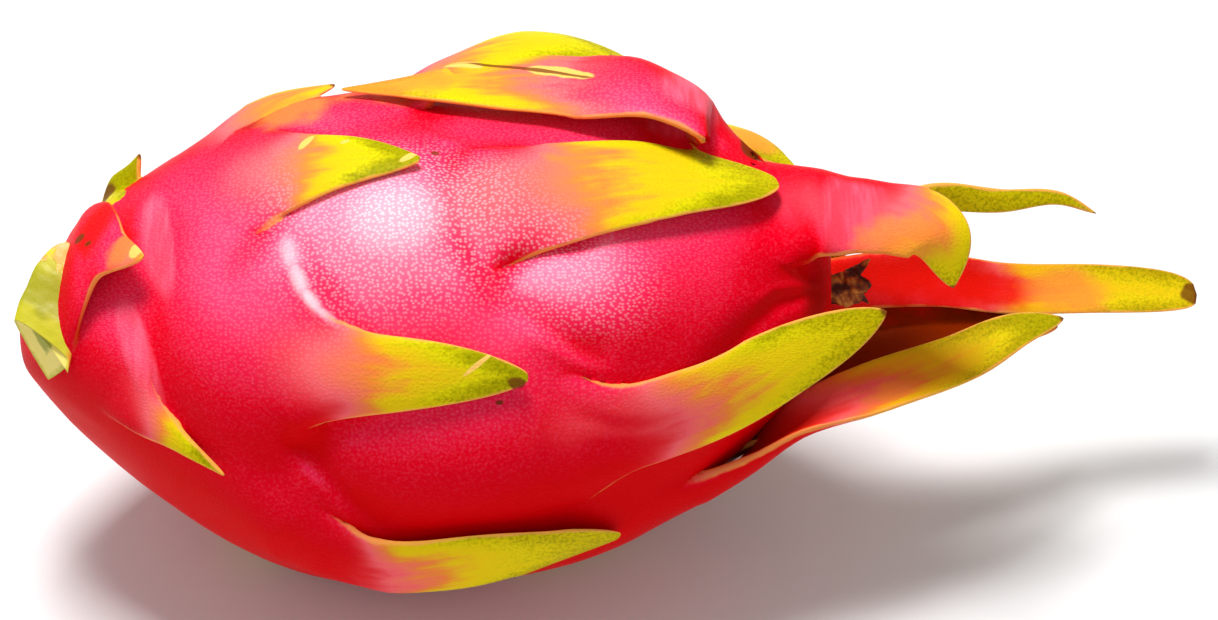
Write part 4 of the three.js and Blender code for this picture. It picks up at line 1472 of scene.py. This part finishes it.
class RindCoats:
    """The rind's nodes: the places, tones and patterns it reads, and its coats from the skin up."""

    def __init__(self, finish: RindFinish, tree: bpy.types.NodeTree) -> None:
        """Takes up the layers of the mesh and makes the patterns.

        Args:
            finish: The colours and sizes.
            tree: Node tree of the material.
        """
        self.finish = finish
        self.tree = tree
        self.node = partial(add_node, tree)
        node = self.node
        self.place = node("TexCoord", out="Object")
        self.x, self.y, self.z = node("SeparateXYZ", None, (self.place,)).node.outputs
        on_bract, along, _ = self.layer("blade_place")
        _, self.edge, self.tip = self.layer("blade_rim")
        _, self.tone, self.face = self.layer("blade_tone")
        _, self.root, exposure = self.layer("root_blush")
        mottle, self.lumps, self.fine, self.flecks, self.grains = (
            node("TexNoise", None, {"Vector": self.place, "Scale": 1.0 / (size * MM), "Detail": detail})
            for size, detail in ((finish.mottle_mm, 2.0), (finish.lump_mm, 2.0), (finish.fine_mm, 3.0),
                                 (finish.speck_mm, 3.0), (finish.speck_mm, 2.0)))
        round_it = (1.0, finish.wrinkle_stretch, finish.wrinkle_stretch)
        self.wrinkles = node("TexNoise", None, {
            "Vector": node("Mapping", None, {"Vector": self.place, "Scale": round_it}),
            "Scale": 1.0 / (finish.wrinkle_mm * MM), "Detail": 2.0})
        along_it = (1.0 / finish.streak_mm[0], 1.0 / finish.streak_mm[1], 1.0)
        self.streaks = node("TexNoise", None, {
            "Vector": node("Mapping", None, {"Vector": on_bract, "Scale": along_it}),
            "Scale": 1.0 / LAYER, "Detail": 2.0})
        # painted highlight: nearness to the glare fields
        painted_highlight = self.zone(PatchKind.GLARE_FIELD)
        self.glare = node("MapRange", EASED, (painted_highlight, -0.1, 0.9))
        self.near_glare = node("MapRange", EASED, (painted_highlight, -0.75, 0.3))
        self.wrinkled = node("MapRange", EASED, (self.zone(PatchKind.WRINKLED), 0.0, 0.4))
        # painted light: the turn towards the lamp, raised near the glare fields and made uneven by the
        # mottle
        uneven = node("Math", MULTIPLY_ADD, (mottle, 0.14, -0.2))
        lit = node("Math", MULTIPLY_ADD, (self.near_glare, 0.1, exposure))
        self.sunny = node("Math", ADD, (uneven, lit))
        self.grown = node("MapRange", EASED, (along, 2.0 * LAYER, 10.0 * LAYER))
        self.on_blade = node("MapRange", EASED, (self.tone, 0.0, 0.3))
        self.ripe = self.ripeness()
        self.pimple = self.pimples()

    def layer(self, name: str) -> tuple[Socket, ...]:
        """A pair of numbers that the mesh carries.

        Args:
            name: Name of its UV map.

        Returns:
            Both together, the first and the second.
        """
        pair = self.node("UVMap", {"uv_map": name})
        first, second, _ = self.node("SeparateXYZ", None, (pair,)).node.outputs
        return pair, first, second

    def zone(self, kind: PatchKind) -> Socket:
        """Nearness to the nearest patch of a kind.

        Args:
            kind: The kind.

        Returns:
            0 on a patch's edge, up to 1 inside it and less than 0 outside.
        """
        best = -1.0
        for patch in PATCHES[kind]:
            near = patch.nearness(self.tree, self.place, self.finish.body)
            best = self.node("Math", {"operation": "MAXIMUM"}, (near, best))
        return best

    def ripeness(self) -> Socket:
        """How far a place has turned, sooner in streaks, at the margins and at roots in painted light.

        Returns:
            From 0, the skin's red, to 1, olive.
        """
        node = self.node
        at_rim = node("MapRange", EASED, (self.edge, 4.5 * LAYER, 0.0, 0.0, 0.3))
        near_rim = node("Math", MULTIPLY, (at_rim, self.grown))
        streaked = node("Math", MULTIPLY_ADD, (self.streaks, 0.36, -0.18))
        speckled = node("Math", MULTIPLY_ADD, (self.lumps, 0.2, -0.1))
        uneven = node("Math", ADD, (node("Math", ADD, (streaked, speckled)), near_rim))
        turned = node("Math", MULTIPLY_ADD, (self.on_blade, uneven, self.tone))
        # painted light: the root blush shows only where the painted light is bright
        in_sun = node("MapRange", EASED, (self.sunny, 0.35, 0.85, 0.0, 0.18))
        return node("Math", MULTIPLY_ADD, (self.root, in_sun, turned))

    def pimples(self) -> Socket:
        """Pimples as round cells, on the skin unrolled about a line along the fruit.

        Returns:
            1 on a pimple and 0 between.
        """
        node = self.node
        finish = self.finish
        up = node("Math", SUBTRACT, (self.z, finish.pimple_axis_mm * MM))
        turn = node("Math", {"operation": "ARCTAN2"}, (up, node("Math", MULTIPLY, (self.y, -1.0))))
        flat = node("CombineXYZ", None, (node("Math", MULTIPLY, (self.x, finish.pimple_stretch)),
                                         node("Math", MULTIPLY, (turn, finish.pimple_radius_mm * MM))))
        cells = node("TexVoronoi", {"voronoi_dimensions": "2D", "feature": "F1"}, {
            "Vector": flat, "Scale": 1.0 / (finish.pimple_mm * MM), "Randomness": 0.8}, "Distance")
        return node("MapRange", EASED, (cells, 0.46, 0.12))

    def coated(self, colour: Socket, coats: list[tuple[Socket, Socket | str]]) -> Socket:
        """Lays coats over a colour, one after the other.

        Args:
            colour: What lies underneath.
            coats: The share, from 0 to 1, and the colour of each.

        Returns:
            The colour on top.
        """
        for share, over in coats:
            top = linear(over) if isinstance(over, str) else over
            colour = self.node("Mix", COLOURS, {0: share, MIX_A: colour, MIX_B: top}, MIX_OUT)
        return colour

    def skin(self) -> Socket:
        """Skin: crimson in painted light and shade, with flecks, ring wrinkles and painted ridge highlights.

        Returns:
            Its colour.
        """
        node, finish = self.node, self.finish
        # painted light: deep red in painted shade, up to a painted highlight where the skin faces the lamp
        skin = node("ValToRGB", {"stops": (
            (0.25, finish.shaded), (0.62, finish.skin), (0.78, finish.lit), (0.9, finish.sunny),
            (1.0, finish.painted_highlight))}, (self.sunny,))
        flecks = node("Math", MULTIPLY, (node("MapRange", EASED, (self.flecks, 0.45, 0.7, 0.0, 0.28)),
                                         node("MapRange", EASED, (self.sunny, 0.2, 0.8))))
        ridges = node("MapRange", EASED, (self.wrinkles, 0.4, 0.65, 0.35, 0.7))
        crease = node("Math", MULTIPLY, (self.wrinkled, ridges))
        # painted highlight along ridges, broken up by the lumps
        ridge_highlight = node("Math", MULTIPLY, (node("MapRange", EASED, (self.zone(PatchKind.RIDGE_HIGHLIGHT), 0.0, 0.8)),
                                         node("Math", MULTIPLY_ADD, (self.lumps, 0.8, 0.25))))
        return self.coated(skin, [(flecks, finish.fleck), (crease, finish.wrinkle), (ridge_highlight, finish.painted_glint)])

    def leaf(self) -> Socket:
        """Bracts: blushed at the root, then orange, yellow and olive, with a brighter yellow painted in
        shade.

        Returns:
            Their colour.
        """
        node, finish = self.node, self.finish
        leaf = node("ValToRGB", {"stops": (
            (0.0, finish.skin), (0.18, finish.blush), (0.36, finish.orange), (0.52, finish.yellow),
            (0.8, finish.lime), (1.0, finish.olive))}, (self.ripe,))
        # painted light: brighter yellow where the bract faces away from the lamp
        shaded = node("Math", MULTIPLY, (node("MapRange", EASED, (self.sunny, 0.8, 0.35, 0.0, 0.55)),
                                         node("MapRange", EASED, (self.ripe, 0.3, 0.6))))
        return self.coated(leaf, [(shaded, finish.leaf_shade)])

    def painted_glints(self) -> Socket:
        """Painted glints: light pink pimples on the lit skin, which run into painted highlight fields at the
        glare.

        Returns:
            Their share of the colour.
        """
        node = self.node
        first, full = self.finish.bare_mm
        near = node("Math", MULTIPLY, (self.near_glare,
                                       node("MapRange", EASED, (self.sunny, 0.45, 0.8, 0.0, 0.35))))
        anywhere = node("MapRange", EASED, (self.sunny, 0.5, 1.0, 0.0, 0.1))
        dots = node("Math", MULTIPLY, (node("Math", ADD, (anywhere, near)), self.pimple))
        field_share = node("MapRange", EASED, (self.glare, 0.35, 1.0))
        bright = node("Math", MULTIPLY_ADD, (self.pimple, 0.14, 0.4))
        both = node("Math", MULTIPLY_ADD, (field_share, bright, dots))
        bare = node("Math", MULTIPLY, (node("MapRange", EASED, (self.ripe, 0.34, 0.15)),
                                       node("MapRange", EASED, (self.x, first * MM, full * MM))))
        return node("Math", MULTIPLY, (both, bare))

    def wear(self) -> list[tuple[Socket, str]]:
        """Coats over the rest: undersides, withered bracts, grains, dry rims, dry tips and patches, some of
        them painted shade.

        Returns:
            The share and the colour of each coat, from the lowest up.
        """
        node, finish = self.node, self.finish
        inside = node("Math", MULTIPLY, (node("MapRange", EASED, (self.face, 0.0, -0.6, 0.0, 0.25)),
                                         node("MapRange", EASED, (self.tone, 1.0, 0.3))))
        withered = node("MapRange", EASED, (self.tone, -0.2, -0.9))
        grains = node("Math", MULTIPLY, (node("MapRange", EASED, (self.grains, 0.42, 0.64, 0.0, 0.5)),
                                         node("MapRange", EASED, (self.ripe, 0.55, 1.0))))
        broken = node("Math", MULTIPLY_ADD, (self.lumps, 0.8 * LAYER, self.edge))
        rim = node("MapRange", EASED, (broken, 0.85 * LAYER, 0.45 * LAYER, 0.0, 0.75))
        rim = node("Math", MULTIPLY, (rim, self.grown))
        uneven = node("Math", MULTIPLY_ADD, (self.lumps, 3.0 * LAYER, self.tip))
        dried = node("MapRange", EASED, (uneven, 2.4 * LAYER, 1.7 * LAYER, 0.0, 0.85))
        coats = [(inside, finish.inner), (withered, finish.withered), (grains, finish.grain),
                 (rim, finish.rim), (dried, finish.brown)]
        ragged = node("Math", MULTIPLY_ADD, (self.lumps, 0.8, -0.4))
        # the shaded patches are painted shade, the red ones partly painted shade
        for kind, colour, share, soft in (
                (PatchKind.SHADED, finish.shade, 0.85, 0.8), (PatchKind.RED, finish.deep, 0.9, 0.6),
                (PatchKind.ORANGE, finish.orange, 0.75, 0.6), (PatchKind.CORK, finish.cork, 0.95, 0.2),
                (PatchKind.BROWN, finish.brown, 0.85, 0.3)):
            spot = node("Math", ADD, (self.zone(kind), ragged))
            coats.append((node("MapRange", EASED, (spot, 0.0, soft, 0.0, share)), colour))
        return coats

    def colour(self) -> Socket:
        """Lays every coat: skin, bracts, painted glints and highlights, wear and painted shade.

        Returns:
            The colour of the rind.
        """
        turned = self.node("MapRange", EASED, (self.ripe, 0.0, 0.2))
        coats = [(turned, self.leaf()), (self.painted_glints(), self.finish.painted_glint), *self.wear()]
        return self.coated(self.skin(), coats)

    def relief(self) -> Socket:
        """Fine relief: pimples and grain, ring wrinkles and the bracts' streaks.

        Returns:
            The normal.
        """
        node = self.node
        grain = node("Math", MULTIPLY, (self.fine, 0.4))
        height = node("Math", MULTIPLY_ADD, (self.pimple, 0.5, grain))
        for share, pattern, size in (
                (self.wrinkled, self.wrinkles, 4.0), (self.on_blade, self.streaks, 2.0)):
            there = node("Math", MULTIPLY, (share, pattern))
            height = node("Math", MULTIPLY_ADD, (there, size, height))
        return node("Bump", None, {"Strength": 0.5, "Distance": self.finish.relief_mm * MM,
                                   "Height": height})


@dataclass(frozen=True)
class StemFinish:
    """Stub of a succulent stem, grown and then cut off: a waxy flank and a bare cut face.

    To the eye the flank is a dull yellow-green with corky bumps near its grown end, and the cut
    face is matte cream round a green core, with a greener ring of skin.
    """

    green: str = "#a29e06"
    lime: str = "#c0b80c"
    yellow: str = "#dcc828"
    cork: str = "#d8a440"
    cream: str = "#f0dc70"
    core: str = "#a0a02c"
    rind: str = "#c8bc30"
    tail: str = "#e08a2a"
    fine_mm: float = 1.2
    broad_mm: float = 3.0
    relief_mm: float = 0.2
    roughness: float = 0.45

    def material(self) -> bpy.types.Material:
        """Builds the node tree.

        Returns:
            The material.
        """
        material, tree, shader = start_material("stem stub, waxy flank and cut face")
        node = partial(add_node, tree)
        place = node("TexCoord", out="Object")
        run = node("SeparateXYZ", None, (node("UVMap", {"uv_map": "stub_run"}),)).node
        along, outward = run.outputs["X"], run.outputs["Y"]
        across = node("SeparateXYZ", None, (node("UVMap", {"uv_map": "stub_section"}),), "X")
        fine, broad = (
            node("TexNoise", None, {"Vector": place, "Scale": 1.0 / (size * MM), "Detail": detail})
            for size, detail in ((self.fine_mm, 3.0), (self.broad_mm, 2.0)))
        flank = node("ValToRGB", {"stops": (
            (0.18, self.yellow), (0.34, self.lime), (0.6, self.green), (0.9, self.green),
            (1.08, self.lime))}, (node("Math", MULTIPLY_ADD, (broad, 0.3, along)),))
        corky = node("MapRange", None, (node("Math", MULTIPLY_ADD, (along, -1.6, broad)), 0.12, 0.2))
        tail = node("Math", MULTIPLY, (node("MapRange", None, (across, 0.8, 0.97)),
                                       node("MapRange", None, (along, 0.8, 0.95))))
        ring = node("Math", SUBTRACT, (node("Math", MULTIPLY_ADD, (fine, 0.3, outward)), 0.15))
        face = node("ValToRGB", {"stops": (
            (0.3, self.core), (0.42, self.cream), (0.85, self.cream), (0.98, self.rind))}, (ring,))
        on_cut = node("MapRange", None, (along, 0.985, 0.997))
        colour = flank
        for share, over in ((corky, linear(self.cork)), (tail, linear(self.tail)), (on_cut, face)):
            colour = node("Mix", COLOURS, {0: share, MIX_A: colour, MIX_B: over}, MIX_OUT)
        height = node("Math", MULTIPLY_ADD, (corky, 2.0, fine))
        bump = node("Bump", None, {"Strength": 0.5, "Distance": self.relief_mm * MM, "Height": height})
        tree.links.new(colour, shader.inputs["Base Color"])
        tree.links.new(bump, shader.inputs["Normal"])
        shader.inputs["Roughness"].default_value = self.roughness
        return material


@dataclass(frozen=True)
class RemainsFinish:
    """Dead flower tissue, dried on the fruit.

    To the eye it is matte paper, dark brown in its folds and tan where it has frayed.
    """

    dark: str = "#4a1c08"
    brown: str = "#8e4410"
    tan: str = "#c8822e"
    fibre_mm: float = 1.5
    relief_mm: float = 0.3
    roughness: float = 0.8

    def material(self) -> bpy.types.Material:
        """Builds the node tree.

        Returns:
            The material.
        """
        material, tree, shader = start_material("dried flower, papery")
        node = partial(add_node, tree)
        place = node("TexCoord", out="Object")
        crumple = node("SeparateXYZ", None, (node("UVMap", {"uv_map": "remains_run"}),), "Y")
        fibres = node("TexNoise", None, {
            "Vector": place, "Scale": 1.0 / (self.fibre_mm * MM), "Detail": 5.0})
        height = node("Math", MULTIPLY_ADD, (crumple, 0.6, fibres))
        colour = node("ValToRGB", {"stops": ((0.38, self.dark), (0.55, self.brown), (0.75, self.tan))},
                      (height,))
        bump = node("Bump", None, {"Strength": 0.8, "Distance": self.relief_mm * MM, "Height": fibres})
        tree.links.new(colour, shader.inputs["Base Color"])
        tree.links.new(bump, shader.inputs["Normal"])
        shader.inputs["Roughness"].default_value = self.roughness
        return material


# ---- Stage -----------------------------------------------------------------------------------------


@dataclass(frozen=True)
class SoftLight:
    """Soft square light that looks at the fruit, in metres and watts."""

    name: str
    place: tuple[float, float, float]
    side: float
    power: float

    def hang(self, target: tuple[float, float, float]) -> None:
        """Puts the light in the scene and turns it.

        Args:
            target: The place that it looks at.
        """
        data = bpy.data.lights.new(self.name, "AREA")
        data.size = self.side
        data.energy = self.power
        lamp = put_in_scene(self.name, data)
        lamp.location = self.place
        away = Vector(self.place) - Vector(target)
        lamp.rotation_euler = away.to_track_quat("Z", "Y").to_euler()


@dataclass(frozen=True)
class Studio:
    """Plain pale floor, soft lights and the camera, in metres and degrees, and the lens in mm."""

    floor_size: float = 4.0
    target: tuple[float, float, float] = (0.0359, 0.0035, 0.0438)
    distance: float = 0.4746
    elevation: float = 40.0
    lens: float = 85.0
    sensor: float = 36.0
    near: float = 0.01                 # the camera sees nothing nearer than this
    world_strength: float = 0.4
    lights: tuple[SoftLight, ...] = (
        SoftLight("key", (-0.08, 0.1, 0.7), side=0.22, power=5.6),
        SoftLight("fill", (0.1, -0.8, 0.6), side=0.6, power=1.0),
    )

    def build(self) -> None:
        """Makes the floor, the lights, the world and the camera."""
        scene = bpy.context.scene
        scene.view_settings.view_transform = "Standard"
        half = self.floor_size / 2.0
        mesh = bpy.data.meshes.new("floor")
        mesh.from_pydata([(-half, -half, 0), (half, -half, 0), (half, half, 0), (-half, half, 0)], [],
                         [(0, 1, 2, 3)])
        floor = put_in_scene("floor", mesh)
        world = bpy.data.worlds.new("studio")
        world.use_nodes = True
        sky = world.node_tree.nodes["Background"].inputs
        sky["Color"].default_value = (1, 1, 1, 1)
        sky["Strength"].default_value = self.world_strength
        scene.world = world
        for light in self.lights:
            light.hang(self.target)
        data = bpy.data.cameras.new("camera")
        data.lens = self.lens
        data.sensor_width = self.sensor
        data.clip_start = self.near
        camera = put_in_scene("camera", data)
        rise = math.radians(self.elevation)
        back = Vector((0.0, -math.cos(rise), math.sin(rise)))
        camera.location = Vector(self.target) + back * self.distance
        camera.rotation_euler = back.to_track_quat("Z", "Y").to_euler()
        scene.camera = camera


def dress(piece: bpy.types.Object, node: str, material: bpy.types.Material) -> None:
    """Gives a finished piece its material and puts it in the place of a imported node.

    Args:
        piece: The finished piece.
        node: The node that it stands in for.
        material: Its finish.
    """
    piece.data.materials.clear()
    piece.data.materials.append(material)
    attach(piece, "root")
    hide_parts(node)
    LOG.info("%s: %d triangles", piece.name, len(piece.data.polygons))


def main() -> None:
    """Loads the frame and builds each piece."""
    logging.basicConfig(level=logging.INFO, format="%(message)s")
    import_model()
    rind = Rind()
    dress(rind.build(), "fruit", RindFinish(rind.body).material())
    dress(StemStub().build(), "stem_stub", StemFinish().material())
    remains = FlowerRemains().build(rind.body)
    dress(remains, "flower_remnant", RemainsFinish().material())
    Studio().build()


if __name__ == "__main__":
    main()
